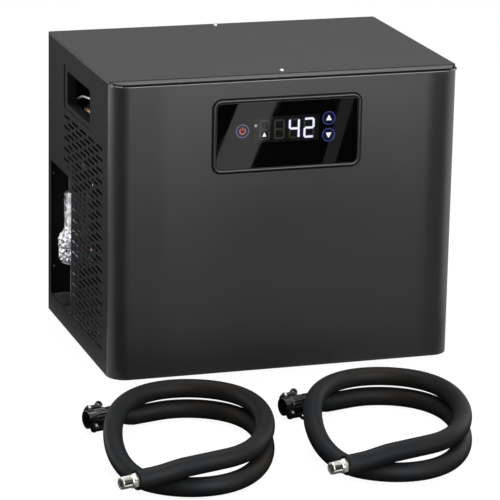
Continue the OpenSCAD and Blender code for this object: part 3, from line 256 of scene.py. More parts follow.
def hose_line():
    """The hose's middle line: a straight end for the nipple, the coil, and one for the coupler."""
    into = (coil_point(coil_start + 1) - coil_point(coil_start)).normalized()
    out = (coil_point(coil_end) - coil_point(coil_end - 1)).normalized()
    count = round((coil_end - coil_start) / coil_step)
    points = []
    for i in range(20, 0, -1):
        s = i / 20
        dip = 3 * eased((s - 0.45) / 0.35)
        points.append(coil_point(coil_start) - into * 119 * s - Vector((0, 0, dip)))
    for i in range(count + 1):
        points.append(coil_point(coil_start + (coil_end - coil_start) * i / count))
    for i in range(1, 13):
        s = i / 12
        lift = 5 * eased((2 * s - 1) / 0.6)
        points.append(coil_point(coil_end) + out * 66 * s + Vector((0, 0, lift)))
    return points


# Painted light: the jacket is painted a little bluer on the left of each coil and browner on its
# right, by a wave across x at the coils' spacing
coils_apart = 0.239
hose_jacket, place = new_finish("foam_hose_jacket")
blotches = place.cloud(38, 3)
pores = place.cloud(1500, 2)
rubbed = place.cloud(9, 2).between(0.5, 0.68)
# The wave of painted light: low on each coil's left side and high on its right
painted_light_side = ((place.axis("X") + 0.206) * (2 * math.pi / coils_apart)).sine() * 0.5 + 0.5
painted_warm_side = painted_light_side * blotches.between(0.2, 0.6)
colour = painted_warm_side.mix((0.0062, 0.0079, 0.0098), (0.0118, 0.0098, 0.0080))
colour = (rubbed * 0.6).mix(colour, (0.020, 0.0175, 0.015))
rough = blotches.between(0.25, 0.75, 0.42, 0.56) + pores * 0.08
height = pores * 0.5 + place.cloud(260, 2)
surface(place, colour, rough, height, 0.00007, {"Specular IOR Level": 0.1})

hose_places = {"hose_1": (-206, -443), "hose_2": (33, -457)}
hose_ends = {}
for hose, (x, y) in hose_places.items():
    laid = Matrix.Translation((x, y, 0)) @ Matrix.Rotation(math.radians(-18), 4, "Z")
    path = [(laid @ point) * mm for point in hose_line()]
    hose_ends[hose] = path
    piece = tube_along(hose + "_jacket", path, hose_radius * mm, 32, hose_jacket)
    fitted(piece, hose + "_assembly", "hose_rubber", hose)

# Nipples: nickel-plated steel ends with a six-sided collar and a pipe thread. The collar is pressed
# against the jacket's cut end.
to_metres = Matrix.Scale(mm, 4)


def piece_of(name, points, faces, finish, smooth_under=40):
    """A mesh piece. Edges that turn by more than an angle stay sharp."""
    mesh = bpy.data.meshes.new(name)
    mesh.from_pydata([tuple(p) for p in points], [], faces)
    mesh.materials.append(finish)
    form = bmesh.new()
    form.from_mesh(mesh)
    bmesh.ops.remove_doubles(form, verts=form.verts, dist=1e-7)
    bmesh.ops.recalc_face_normals(form, faces=form.faces)
    form.to_mesh(mesh)
    form.free()
    mesh.shade_smooth()
    mesh.set_sharp_from_angle(angle=math.radians(smooth_under))
    return new_object(name, mesh)


def skin(rows, around, joined=True):
    """Faces over rows of points that each go round: joined, first to last, or capped at both ends."""
    faces = []
    for i in range(rows if joined else rows - 1):
        j = (i + 1) % rows
        for k in range(around):
            m = (k + 1) % around
            faces.append((i * around + k, i * around + m, j * around + m, j * around + k))
    if not joined:
        last = rows * around - 1
        faces += [tuple(range(around)), tuple(range(last, last - around, -1))]
    return faces


def turned_form(profile, sides, radius_at=None):
    """Points and faces of a form turned round X, along a closed profile of (x, radius)."""
    points = []
    for x, radius in profile:
        for k in range(sides):
            a = 2 * math.pi * k / sides
            r = radius if radius_at is None else radius_at(x, radius, a)
            points.append((x, r * math.cos(a), r * math.sin(a)))
    return points, skin(len(profile), sides)


def aimed(end, before):
    """Turns +X along a hose's level end."""
    out = end - before
    return Matrix.Translation(end) @ Matrix.Rotation(math.atan2(out.y, out.x), 4, "Z")


nickel, place = new_finish("nickel_plated_steel")
smears = place.cloud(180, 4)
colour = smears.between(0.35, 0.75).mix((0.66, 0.65, 0.61), (0.52, 0.51, 0.47))
slot = place.node("ShaderNodeAttribute", {"attribute_name": "slot"}).out("Fac")
colour = slot.mix(colour, (0.012, 0.012, 0.012))
surface(place, colour, smears.between(0.3, 0.8, 0.34, 0.46), smears, 0.00001, {"Metallic": 0.85})

thread_pitch = 1.8
thread_start = 7.4
thread_end = 19.2
slot_turn = math.radians(18)


def in_slot(x, a):
    """Whether a point is in the thread's dark patch. It is drawn as a shallow slot, as a guess."""
    return 8 < x < 19 and abs((a - slot_turn + math.pi) % (2 * math.pi) - math.pi) < 0.45


def thread_radius(x, radius, a):
    """The crest and root of the thread, which runs out at both its ends."""
    if radius < 5 or not thread_start < x < thread_end:
        return radius
    if in_slot(x, a):
        return radius - 1.6
    turn = (x / thread_pitch - a / (2 * math.pi)) % 1
    fade = min(1, (x - thread_start) / 1.2, (thread_end - x) / 1.2)
    return radius - 1.0 * fade * (1 - abs(2 * turn - 1)) ** 0.8


def six_flats(x, radius, a):
    """The collar's six flats, 15.1 mm apart, with their corners turned off on both sides."""
    return min(radius, 7.55 / math.cos((a + math.pi / 6) % (math.pi / 3) - math.pi / 6))


threaded = [(6 + 0.2 * i, 7.2) for i in range(1, 66)]
thread_profile = [(5.9, 6.6), *threaded, (19.6, 6.9), (20, 6.4), (20, 4.8), (19.8, 4.6)]
thread_profile += [(3, 4.6), (3, 6.6)]
collar_profile = [(0, 7.5), (0.9, 8.7), (5.1, 8.7), (6, 7.5), (6, 5), (0, 5)]
for hose, path in hose_ends.items():
    thread = piece_of(hose + "_thread", *turned_form(thread_profile, 48, thread_radius), nickel)
    marked = thread.data.attributes.new("slot", "FLOAT", "POINT")
    for i, vertex in enumerate(thread.data.vertices):
        x, y, z = vertex.co
        marked.data[i].value = in_slot(x, math.atan2(z, y)) and math.hypot(y, z) > 5
    collar = piece_of(hose + "_collar", *turned_form(collar_profile, 48, six_flats), nickel, 20)
    for part in (thread, collar):
        part.data.transform(aimed(path[0], path[1]) @ to_metres)
        fitted(part, hose + "_assembly", "bright_steel", hose + "_nipple")


def rounded_copy(name, node, radius, steps, finish, angle=30):
    """A copy of a part's solid with its sharp edges rounded, in the same place."""
    source = nodes[node].data
    form = bmesh.new()
    points = [form.verts.new(v.co) for v in source.vertices]
    for face in source.polygons:
        corners = [points[i] for i in face.vertices]
        if len(set(corners)) == len(corners):
            form.faces.new(corners)
    bmesh.ops.remove_doubles(form, verts=form.verts, dist=0.00001)
    bmesh.ops.dissolve_limit(
        form, angle_limit=math.radians(0.6), verts=form.verts, edges=form.edges
    )
    mesh = bpy.data.meshes.new(name)
    form.to_mesh(mesh)
    form.free()
    mesh.materials.append(finish)
    mesh.shade_smooth()
    seed = new_object(name + "_seed", mesh)
    edge = seed.modifiers.new("edge", "BEVEL")
    edge.width = radius * mm
    edge.segments = steps
    edge.limit_method = "ANGLE"
    edge.angle_limit = math.radians(angle)
    edge.harden_normals = True
    return plain_piece(name, seed)


def mottled(name, cloud, colours, rough, grain=None, deep=0.0, even=None, span=(0.3, 0.7)):
    """A finish in soft patches of two colours and two roughnesses, with a fine grain this deep."""
    made, place = new_finish(name)
    patches = place.cloud(*cloud)
    colour = patches.between(*span).mix(*colours)
    height = place.cloud(*grain) if grain else None
    surface(place, colour, patches.between(0.3, 0.7, *rough), height, deep, even)
    return made


nylon, place = new_finish("glass_filled_nylon")
flow = place.cloud(120, 3)
colour = flow.between(0.3, 0.75).mix((0.0045, 0.0042, 0.0040), (0.016, 0.012, 0.010))
surface(place, colour, flow.between(0.3, 0.7, 0.16, 0.3), place.cloud(900, 2) + flow, 0.00006)
pin_steel = mottled(
    "pin_steel",
    cloud=(700, 3),
    colours=((0.78, 0.77, 0.74), (0.60, 0.58, 0.55)),
    rough=(0.22, 0.36),
    even={"Metallic": 0.9},
)


def grip_radius(x, radius, a):
    """Sixteen ribs along the socket, for the fingers, that fade at both ends."""
    fade = min(1, (x - 4) / 1.2, (20.5 - x) / 1.2)
    rib = 0.65 * max(fade, 0) * (0.5 + 0.5 * math.cos(16 * a)) ** 0.6
    return radius if radius < 11 else radius + rib


ribbed = [(3.9, 10.2), *((4 + 0.5 * i, 11.0) for i in range(34)), (20.6, 10.2)]
mouth = [(29.7 + 0.45 * math.cos(k), 10.75 + 0.45 * math.sin(k)) for k in range(6)]
for hose, path in hose_ends.items():
    body = hose + "_assembly"
    shell = rounded_copy(hose + "_socket", hose + "_coupler", 0.35, 2, nylon)
    fitted(shell, body, "black_plastic", hose + "_coupler")
    set_on = aimed(path[-1], path[-2]) @ Matrix.Rotation(math.radians(45), 4, "X") @ to_metres
    grip = piece_of(hose + "_ribs", *turned_form(ribbed, 160, grip_radius), nylon)
    bead = piece_of(hose + "_mouth_bead", *turned_form(mouth, 64), nylon)
    form = bmesh.new()
    for side in (1, -1):
        made = bmesh.ops.create_cone(
            form, cap_ends=True, segments=24, radius1=1.7, radius2=1.7, depth=14.2
        )
        lie = Matrix.Translation((23.5, 0, side * 12.5)) @ Matrix.Rotation(math.pi / 2, 4, "X")
        bmesh.ops.transform(form, matrix=lie, verts=made["verts"])
    rods = bpy.data.meshes.new(hose + "_pins")
    form.to_mesh(rods)
    form.free()
    rods.materials.append(pin_steel)
    pins = new_object(hose + "_pins", rods)
    for part, look in ((grip, "black_plastic"), (bead, "black_plastic"), (pins, "bright_steel")):
        part.data.transform(set_on)
        fitted(part, body, look)
    for side in ("upper", "lower"):
        lever = rounded_copy(f"{hose}_{side}_handle", f"{hose}_{side}_lever", 0.4, 2, nylon)
        fitted(lever, f"{hose}_{side}_lever_body", "black_plastic", f"{hose}_{side}_lever")

end_pieces = ("_socket", "_ribs", "_mouth_bead", "_pins", "_thread", "_collar")
for hose in hose_ends:
    bpy.data.objects[hose + "_jacket"]
    [hose + end for end in end_pieces]

# Base pan and feet: a galvanised steel pan with a folded edge and a drain hole. It stands on four
# moulded rubber feet whose stems are pulled through the pan.


def coat(finish, *names):
    """Gives parts that are shown as they are their finish."""
    for name in names:
        nodes[name].data.materials.clear()
        nodes[name].data.materials.append(finish)


galvanised, place = new_finish("galvanised_steel")
cells = place.node("ShaderNodeTexVoronoi", {}, {"Vector": place, "Scale": 110.0}, output=1)
spangle = cells.node("ShaderNodeSeparateColor", {}, {"Color": cells})
colour = spangle.mix((0.34, 0.35, 0.36), (0.52, 0.53, 0.54))
rough = spangle.between(0.0, 1.0, 0.34, 0.52)
surface(place, colour, rough, place.cloud(60, 3), 0.00008, {"Metallic": 0.9})
coat(galvanised, "base_pan", "accumulator_stand", "fan_bracket", "condenser_end_plates")

moulded_rubber = mottled(
    "moulded_rubber",
    cloud=(70, 3),
    colours=((0.014, 0.014, 0.014), (0.032, 0.031, 0.030)),
    rough=(0.6, 0.78),
    grain=(1400, 2),
    deep=0.00005,
    span=(0.35, 0.75),
)
coat(moulded_rubber, "rubber_feet", "compressor_mounts", "hose_1_gasket", "hose_2_gasket")

# Cabinet sheets: cold-rolled steel, folded, then powder coated in satin black. The cover is one
# sheet with its edges turned down.


def powder_coated(name, patches, grain, colours, rough, deep, shine, painted_highlight_from=None):
    """A coat in soft patches, with a grain that also breaks up its shine. Above a height, where one is
    given, it is painted pale as a painted highlight."""
    made, place = new_finish(name)
    clouds = place.cloud(patches, 3)
    peel = place.cloud(grain, 2)
    colour = clouds.between(0.3, 0.7).mix(*colours)
    if painted_highlight_from is not None:
        # Painted highlight: the colour turns pale above this height
        top = place.axis("Z").between(painted_highlight_from, painted_highlight_from + 0.0005)
        colour = top.mix(colour, (0.30, 0.30, 0.30))
    low, high, broken = rough
    dull = clouds.between(0.3, 0.7, low, high) + peel * broken
    surface(place, colour, dull, peel, deep, {"Specular IOR Level": shine})
    return made


powder_coat = powder_coated(
    "satin_black_powder_coat",
    patches=6,
    grain=700,
    colours=((0.0235, 0.0240, 0.0245), (0.0265, 0.0270, 0.0275)),
    rough=(0.36, 0.40, 0.05),
    deep=0.00003,
    shine=0.22,
)
cover = rounded_copy("cover", "top_cover", 0.9, 3, powder_coat)
fitted(cover, "cabinet", "black_paint", "top_cover")

# Front panel: one sheet that wraps round both front corners, in a darker coat of the same kind. A pale
# line is painted along the panel's cut top edge: a painted highlight.
front_coat = powder_coated(
    "front_powder_coat",
    patches=6,
    grain=700,
    colours=((0.0125, 0.0128, 0.0130), (0.0150, 0.0153, 0.0155)),
    rough=(0.36, 0.40, 0.05),
    deep=0.00003,
    shine=0.3,
    painted_highlight_from=0.3743,
)
fascia = rounded_copy("front_panel", "front_fascia", 0.6, 3, front_coat)
fitted(fascia, "cabinet", "black_paint", "front_fascia")

# Side and rear panels: the same steel, punched with slots and openings, in a rough coat that is
# nearly dull and a little green.
rough_coat = powder_coated(
    "rough_black_coat",
    patches=7,
    grain=1100,
    colours=((0.0104, 0.0118, 0.0112), (0.0136, 0.0150, 0.0143)),
    rough=(0.55, 0.62, 0.06),
    deep=0.00004,
    shine=0.07,
)
coat(rough_coat, "left_side_panel", "right_side_panel", "rear_panel", "grip_frames")

# Ledge: the strip in front of the cover, of the same steel in a smoother coat that shines more,
# painted lighter than the cover's as painted light. A black strip lies in the gap below its front edge
# as painted shadow, and a narrow strip closes each of its ends.
ledge_coat = mottled(
    "smooth_black_coat",
    cloud=(9, 3),
    colours=((0.062, 0.063, 0.064), (0.069, 0.070, 0.071)),
    rough=(0.4, 0.45),
    grain=(700, 2),
    deep=0.00002,
)
ledge = rounded_copy("ledge", "front_ledge", 0.5, 3, ledge_coat)
fitted(ledge, "cabinet", "black_paint", "front_ledge")

# Near-black rubber for strips that stand for the shadow in gaps: painted shadow
painted_shadow_black = mottled(
    "painted_shadow_rubber",
    cloud=(90, 3),
    colours=((0.003, 0.003, 0.003), (0.007, 0.007, 0.007)),
    rough=(0.7, 0.85),
    grain=(1400, 2),
    deep=0.00003,
    even={"Specular IOR Level": 0.05},
)
# The black strip in the gap below the ledge, where shade falls: painted shadow
lip = [(-167.8, 374.8), (-168.6, 374.8), (-169, 375.2), (-169, 377), (-168.6, 377.5), (-167.8, 377.5)]
points = [(x, y, z) for x in (-212, 212) for y, z in lip]
shadow_strip = piece_of("ledge_seal", points, skin(2, 6, joined=False), painted_shadow_black)
shadow_strip.data.transform(to_metres)
fitted(shadow_strip, "cabinet", "black_rubber")

strip = ((222, 373.5), (223.4, 373.5), (223.4, 376.6), (222, 377.2))
points = [(side * x, y, z) for side in (-1, 1) for y in (-160, -151.2) for x, z in strip]
faces = [tuple(first + k for k in face) for first in (0, 8) for face in skin(2, 4, joined=False)]
ends = piece_of("ledge_end_strips", points, faces, ledge_coat)
ends.data.transform(to_metres)
fitted(ends, "cabinet", "black_paint")

# Screws: zinc-plated pan heads with a cross recess. Two hold the cover, six the rear panel, and
# four the fan guard.
bright_zinc = mottled(
    "bright_zinc_plating",
    cloud=(300, 3),
    colours=((0.78, 0.78, 0.76), (0.62, 0.62, 0.60)),
    rough=(0.18, 0.34),
    grain=(300, 3),
    deep=0.00002,
    even={"Metallic": 1.0},
)


def screw_pattern():
    """One screw: its domed head on z = 0, with its cross recess, and its shank below."""
    form = bmesh.new()
    around = 24

    def ring_at(radius, z):
        turns = [2 * math.pi * k / around for k in range(around)]
        return [form.verts.new((radius * math.cos(a), radius * math.sin(a), z)) for a in turns]

    outline = ((1.6, -8), (1.6, 0), (2.6, 0), (2.52, 0.6), (2.3, 1.05), (1.9, 1.36))
    rings = [ring_at(radius, z) for radius, z in outline]
    for low, high in zip(rings, rings[1:]):
        for k in range(around):
            m = (k + 1) % around
            form.faces.new((low[k], low[m], high[m], high[k]))
    form.faces.new(rings[0][::-1])
    arm = 0.28
    reach = 1.4
    cross = [(arm, arm), (arm, reach), (-arm, reach), (-arm, arm), (-reach, arm), (-reach, -arm)]
    cross += [(-x, -y) for x, y in cross]
    top = [form.verts.new((x, y, 1.4)) for x, y in cross]
    bottom = [form.verts.new((0.7 * x, 0.7 * y, 0.45)) for x, y in cross]
    for k in range(12):
        m = (k + 1) % 12
        form.faces.new((top[k], top[m], bottom[m], bottom[k]))
    form.faces.new(bottom)
    edges = []
    for ring in (top, rings[-1]):
        edges += [form.edges.get(pair) for pair in zip(ring, ring[1:] + ring[:1])]
    bmesh.ops.triangle_fill(form, edges=edges, use_beauty=True)
    bmesh.ops.recalc_face_normals(form, faces=form.faces)
    mesh = bpy.data.meshes.new("screw_pattern")
    form.to_mesh(mesh)
    form.free()
    mesh.transform(to_metres)
    mesh.shade_smooth()
    mesh.set_sharp_from_angle(angle=math.radians(35))
    return new_object("screw_pattern", mesh)


def at_points(ins, pattern, size=(1, 1, 1)):
    """Puts a pattern at each point of a tree's mesh, turned the way that the point faces."""
    facing = ins.node(
        "GeometryNodeInputNamedAttribute", {"data_type": "FLOAT_VECTOR"}, {"Name": "facing"}
    )
    copies = {"Points": ins.out("Geometry"), "Instance": pattern, "Rotation": facing, "Scale": size}
    return ins.node("GeometryNodeInstanceOnPoints", {}, copies)


fixing_tree, ins = tree_for_geometry(
    "fixings_at_points", {"Pattern": "Object", "Size": "Float", "Finish": "Material"}
)
pattern = ins.node("GeometryNodeObjectInfo", {}, {"Object": ins.out("Pattern")}).out("Geometry")
end_tree(ins, at_points(ins, pattern, ins.out("Size")))


def points_facing(name, places):
    """A mesh of loose points, in millimetres, each with the way that it faces."""
    mesh = bpy.data.meshes.new(name)
    mesh.from_pydata([tuple(c * mm for c in at) for at, turn in places], [], [])
    facing = mesh.attributes.new("facing", "FLOAT_VECTOR", "POINT")
    for one, (at, turn) in zip(facing.data, places):
        one.vector = turn
    return mesh


quarter = math.pi / 2
screw = screw_pattern()
panel_places = [((0, -137, 379), (0, 0, 0.5)), ((0, 142, 379), (0, 0, 1.1))]
for side in (-1, 1):
    for share in (0.16, 0.5, 0.84):
        panel_places.append(((side * 219, 151, 3 + share * 376), (-quarter, 0, 0)))
guard_eye = 0.78 * 101
guard_places = []
for x in (-1, 1):
    for z in (-1, 1):
        guard_places.append(((-30 + x * guard_eye, 155, 190 + z * guard_eye), (-quarter, 0, 0)))
for name, places, size, stood_for in (
    ("panel_screws", panel_places, 1.0, ["cabinet_screws"]),
    ("guard_screws", guard_places, 0.9, []),
):
    values = {"Pattern": screw, "Size": size, "Finish": bright_zinc}
    piece = grown(name, points_facing(name + "_places", places), fixing_tree, values)
    fitted(piece, "cabinet", "bright_steel", *stood_for)

# Display: a glossy bezel clipped into the front panel from behind, and a smoked glass that carries the
# lit digits and the three touch keys. Its lit marks are lit from behind, through clear windows, and
# the unlit bars and the module's field glow faintly as painted light.
bezel_gloss = mottled(
    "gloss_black_moulding",
    cloud=(30, 3),
    colours=((0.0035, 0.0035, 0.0038), (0.0060, 0.0060, 0.0063)),
    rough=(0.26, 0.32),
    grain=(400, 2),
    deep=0.00001,
    even={"Specular IOR Level": 0.35},
)
bezel = rounded_copy("bezel", "display_bezel", 0.4, 2, bezel_gloss, 40)
for vertex in bezel.data.vertices:
    vertex.co.y = max(vertex.co.y, -0.1716)
fitted(bezel, "cabinet", "gloss_black", "display_bezel")

bezel_x = -2.5
bezel_z = 307
bezel_radius = 11


def round_the_bezel(name, profile, finish, slot):
    """A piece that runs all round the bezel's edge, along a closed profile of (inward, y)."""
    points = []
    for inward, y in profile:
        radius = bezel_radius - inward
        for k in range(4):
            x = bezel_x + (85 if k in (0, 3) else -85)
            z = bezel_z + (35.25 if k < 2 else -35.25)
            for i in range(13):
                a = math.radians(90 * (k + i / 12))
                points.append((x + radius * math.cos(a), y, z + radius * math.sin(a)))
    piece = piece_of(name, points, skin(len(profile), 52), finish)
    piece.data.transform(to_metres)
    fitted(piece, "cabinet", slot)


# The rim is a rounded bead round the glass, and a thin black strip outside it stands for the groove's
# shadow: painted shadow
bead = [(0, -170.9), (0, -171.8), (0.5, -172.5), (1.4, -172.9), (2.3, -173), (3.1, -172.8)]
bead += [(3.9, -172.4), (4.35, -171.85), (4.4, -171.3), (4.4, -170.9)]
line = [(-1.4, -170.95), (-1.3, -171.15), (0.1, -171.2), (0.1, -170.95)]
round_the_bezel("bezel_rim", bead, bezel_gloss, "gloss_black")
round_the_bezel("bezel_gasket", line, painted_shadow_black, "black_rubber")

smoked_glass, place = new_finish("smoked_glass")
wipe = place.cloud(25, 4)
colour = wipe.between(0.3, 0.8).mix((0.0012, 0.0012, 0.0014), (0.0022, 0.0022, 0.0025))
surface(place, colour, wipe.between(0.45, 0.8, 0.02, 0.06), even={"IOR": 1.5})
glass = rounded_copy("glass", "display_glass", 0.3, 2, smoked_glass)
fitted(glass, "cabinet", "display_glass", "display_glass")


def lit_finish(name, dim, bright):
    """A mark that glows, a little uneven, under the same smooth glass."""
    made, place = new_finish(name)
    glow = place.cloud(220, 2).between(0.3, 0.7).mix(dim, bright)
    lit = {"Emission Color": glow, "Emission Strength": 1.0}
    surface(place, (0.002, 0.002, 0.002, 1), 0.05, even=lit)
    return made


# One bar of a digit: a thin plate with pointed ends, drawn out from a hexagon of radius 1
bar_tree, ins = tree_for_geometry(
    "bars_at_points",
    {"Length": "Float", "Width": "Float", "Thickness": "Float", "Finish": "Material"},
)
hexagon = ins.node("GeometryNodeMeshCircle", {"fill_type": "NGON"}, {"Vertices": 6, "Radius": 1.0})
corner_over_flat = 1.1547
spot = ins.node("GeometryNodeInputPosition")
across = spot.axis("X")
half = ins.out("Width") * 0.5
tip = (ins.out("Length") - ins.out("Width")) * 0.5
way = across.node("ShaderNodeMath", {"operation": "SIGN"}, {0: across})
drawn = {"X": across * half + way * tip, "Y": spot.axis("Y") * half * corner_over_flat}
stretched = spot.node("ShaderNodeCombineXYZ", {}, drawn)
bar = ins.node("GeometryNodeSetPosition", {}, {"Geometry": hexagon, "Position": stretched})
thick = ins.node("GeometryNodeExtrudeMesh", {}, {"Mesh": bar, "Offset Scale": ins.out("Thickness")})
under = ins.node("GeometryNodeFlipFaces", {}, {"Mesh": bar})
solid = ins.node("GeometryNodeJoinGeometry", {}, {"Geometry": [thick, under]})
closed = ins.node("GeometryNodeMergeByDistance", {}, {"Geometry": solid, "Distance": 0.000001})
end_tree(ins, at_points(ins, closed))

display_x = -3.4
display_z = 313
digit_step = 19.2
glass_front = -171.8
plate = 0.05
# Where each bar of a digit lies, by its usual letter: across, up, and whether it stands upright
bar_spots = {
    "a": (0, 11.4, 0),
    "b": (5.85, 5.7, 1),
    "c": (5.85, -5.7, 1),
    "d": (0, -11.4, 0),
    "e": (-5.85, -5.7, 1),
    "f": (-5.85, 5.7, 1),
    "g": (0, 0, 0),
}


def bars(name, shown, width, length, out, finish):
    """The bars of each digit in shown, as one thin piece on the glass."""
    places = []
    for digit, letters in shown.items():
        for letter in letters:
            across, up, upright = bar_spots[letter]
            x = display_x + (digit - 1.5) * digit_step + across
            places.append(((x, glass_front - out, display_z + up), (quarter, quarter * upright, 0)))
    values = {"Length": length * mm, "Width": width * mm, "Thickness": plate * mm, "Finish": finish}
    piece = grown(name, points_facing(name + "_places", places), bar_tree, values)
    fitted(piece, "cabinet", "white_plastic")


lit_white = lit_finish("lit_white", (0.80, 0.80, 1.0), (1.0, 1.0, 1.0))
halo_violet = lit_finish("halo_violet", (0.030, 0.024, 0.10), (0.045, 0.035, 0.14))
# Painted light: the unlit bars glow faintly, though no lamp lights them
unlit_bar_painted_glow = lit_finish("unlit_bar_painted_glow", (0.024, 0.024, 0.020), (0.040, 0.040, 0.033))
every = "abcdefg"
lit = {2: "bcfg", 3: "abdeg"}
bars("unlit_digits", {0: every, 1: every, 2: "ade", 3: "cf"}, 2.2, 11.0, 0.01, unlit_bar_painted_glow)
bars("digit_halo", lit, 4.4, 13.2, 0.03, halo_violet)
bars("lit_digits", lit, 2.6, 11.3, 0.06, lit_white)


def flat_marks(name, outlines, out, finish):
    """Thin plates on the glass, each with an outline of (across, up) in the display's plane."""
    form = bmesh.new()
    for outline in outlines:
        front, back = (
            [form.verts.new((x * mm, y * mm, z * mm)) for x, z in outline]
            for y in (glass_front - out - plate, glass_front - out)
        )
        form.faces.new(front)
        form.faces.new(back[::-1])
        count = len(outline)
        for k in range(count):
            m = (k + 1) % count
            form.faces.new((front[k], back[k], back[m], front[m]))
    bmesh.ops.recalc_face_normals(form, faces=form.faces)
    mesh = bpy.data.meshes.new(name)
    form.to_mesh(mesh)
    form.free()
    mesh.materials.append(finish)
    fitted(new_object(name, mesh), "cabinet", "white_plastic")


def arc(centre, radius, width, first, last, steps):
    """Outlines of the short plates that make an arc or a ring."""
    near = radius - width / 2
    far = radius + width / 2
    outlines = []
    for k in range(steps):
        a = math.radians(first + (last - first) * k / steps)
        b = math.radians(first + (last - first) * (k + 1) / steps)
        spots = ((near, a), (far, a), (far, b), (near, b))
        outlines.append([(centre[0] + r * math.sin(t), centre[1] + r * math.cos(t)) for r, t in spots])
    return outlines


def disc(x, z, radius, steps):
    turns = [2 * math.pi * k / steps for k in range(steps)]
    return [(x + radius * math.cos(t), z + radius * math.sin(t)) for t in turns]


power_at = (-60.6, display_z)
up_at = (51.2, display_z + 10.6)
down_at = (51.2, display_z - 10.6)
key_blue = lit_finish("key_blue", (0.025, 0.050, 0.20), (0.045, 0.09, 0.32))
key_lilac = lit_finish("key_lilac", (0.10, 0.11, 0.26), (0.15, 0.16, 0.34))
key_shade = lit_finish("key_shade", (0.003, 0.003, 0.010), (0.006, 0.006, 0.018))
power_red = lit_finish("power_red", (0.40, 0.09, 0.07), (0.62, 0.20, 0.16))
icon_grey = lit_finish("icon_grey", (0.16, 0.19, 0.23), (0.34, 0.38, 0.45))
# Painted light: the module's field glows faintly, though no lamp lights it
module_painted_glow = lit_finish("module_field", (0.0035, 0.0040, 0.0040), (0.0060, 0.0068, 0.0066))

rings = arc(up_at, 8.0, 1.0, 0, 360, 40) + arc(down_at, 8.0, 1.0, 0, 360, 40)
flat_marks("arrow_rings", rings, 0.03, key_blue)
flat_marks("power_ring", arc(power_at, 8.0, 1.0, 0, 360, 40), 0.03, key_lilac)
flat_marks("key_fields", [disc(*at, 7.5, 36) for at in (up_at, down_at, power_at)], 0.0, key_shade)
arrow = ((-3.7, -2.8), (3.7, -2.8), (0.6, 3.5), (-0.6, 3.5))
arrows = []
for (x, z), way in ((up_at, 1), (down_at, -1)):
    arrows.append([(x + side, z + way * up) for side, up in arrow])
flat_marks("arrows", arrows, 0.06, lit_white)
stem = [(-61.3, 314.2), (-59.9, 314.2), (-59.9, 318.2), (-61.3, 318.2)]
flat_marks("power_mark", arc(power_at, 3.5, 1.5, 38, 322, 24) + [stem], 0.06, power_red)
flat_marks("status_dot", [disc(-43.7, 319, 1.9, 18)], 0.06, icon_grey)
status = [(-35.0, 304.6), (-29.8, 304.6), (-32.0, 309.6), (-32.8, 309.6)]
flat_marks("status_mark", [status], 0.07, lit_white)
module = [(-46, 297), (38.5, 297), (38.5, 329.5), (-46, 329.5)]
flat_marks("module_field", [module], -0.045, module_painted_glow)

circuit_green, place = new_finish("circuit_green")
tracks = place.node("ShaderNodeTexBrick", {}, {"Vector": place, "Scale": 90.0}, output=1)
colour = tracks.mix((0.012, 0.070, 0.030), (0.030, 0.13, 0.060))
surface(place, colour, place.cloud(80, 2).between(0.3, 0.7, 0.3, 0.45), tracks, 0.00004)
coat(circuit_green, "display_board", "control_board")

white_moulding = mottled(
    "white_moulding",
    cloud=(25, 3),
    colours=((0.62, 0.61, 0.57), (0.72, 0.72, 0.69)),
    rough=(0.4, 0.55),
    grain=(600, 2),
    deep=0.00002,
)
coat(white_moulding, "digit_module", "run_capacitor", "pump_impeller")

# Mouldings: glass-filled and plain black plastics, for the control box, the gland, the fan with its
# duct, the compressor's terminal cover, and the pump and the vessel's lid.
black_moulding = mottled(
    "black_moulding",
    cloud=(22, 3),
    colours=((0.012, 0.012, 0.0125), (0.021, 0.021, 0.021)),
    rough=(0.42, 0.55),
    grain=(1300, 2),
    deep=0.00004,
)
coat(black_moulding, "control_box", "cable_gland", "fan_shroud", "fan_blade", "terminal_cover")
coat(black_moulding, "pump_housing", "evaporator_lid")

# Compressor and motors: deep-drawn steel shells, welded round and painted semi-gloss black. The
# compressor stands on rubber mounts, and the fan's motor on a steel bracket.
motor_enamel = mottled(
    "black_enamel",
    cloud=(14, 3),
    colours=((0.010, 0.010, 0.011), (0.017, 0.017, 0.018)),
    rough=(0.2, 0.32),
    grain=(220, 3),
    deep=0.0001,
)
coat(motor_enamel, "compressor", "fan_motor", "pump_motor")

# Accumulator: a narrow neck on a wider body, wrapped by hand in aluminium foil tape that has
# crumpled. Its facets catch the light through the service window.
foil, place = new_finish("crumpled_foil")
folds = place.node("ShaderNodeTexVoronoi", {}, {"Vector": place, "Scale": 230.0})
creases = place.cloud(120, 5)
colour = creases.between(0.42, 0.6).mix((0.45, 0.45, 0.49), (0.88, 0.88, 0.90))
below = place.axis("Z").between(0.118, 0.126, 1.0, 0.12)
height = (folds * 0.7 + creases) * below
surface(place, colour, creases.between(0.3, 0.7, 0.22, 0.4), height, 0.0011, {"Metallic": 0.9})
shoulder = 122
outline = [(17.6, 78), (22, 82.4), (22, 110), (14.5, shoulder), (14.5, 169.1), (11.6, 172)]
stations = []
for (r0, z0), (r1, z1) in zip(outline, outline[1:]):
    count = max(2, round(math.hypot(r1 - r0, z1 - z0) / 1.6))
    for k in range(count):
        stations.append((r0 + (r1 - r0) * k / count, z0 + (z1 - z0) * k / count))
stations.append(outline[-1])
sides = 64
points = []
for r, z in stations:
    crumple = 1.0 if z < shoulder else 0.15
    for k in range(sides):
        a = 2 * math.pi * k / sides
        spot = Vector((math.cos(a) * r, math.sin(a) * r, z))
        fold = noise.fractal(spot * 0.16, 1.0, 2.0, 3) + abs(noise.noise(spot * 0.45)) - 0.3
        wide = r + crumple * 1.9 * min(0.45, fold)
        points.append((-198 + math.cos(a) * wide, 112 + math.sin(a) * wide, z))
wrap = piece_of("foil_wrap", points, skin(len(stations), sides, joined=False), foil, 18)
wrap.data.transform(to_metres)
fitted(wrap, "cabinet", "foil", "accumulator")

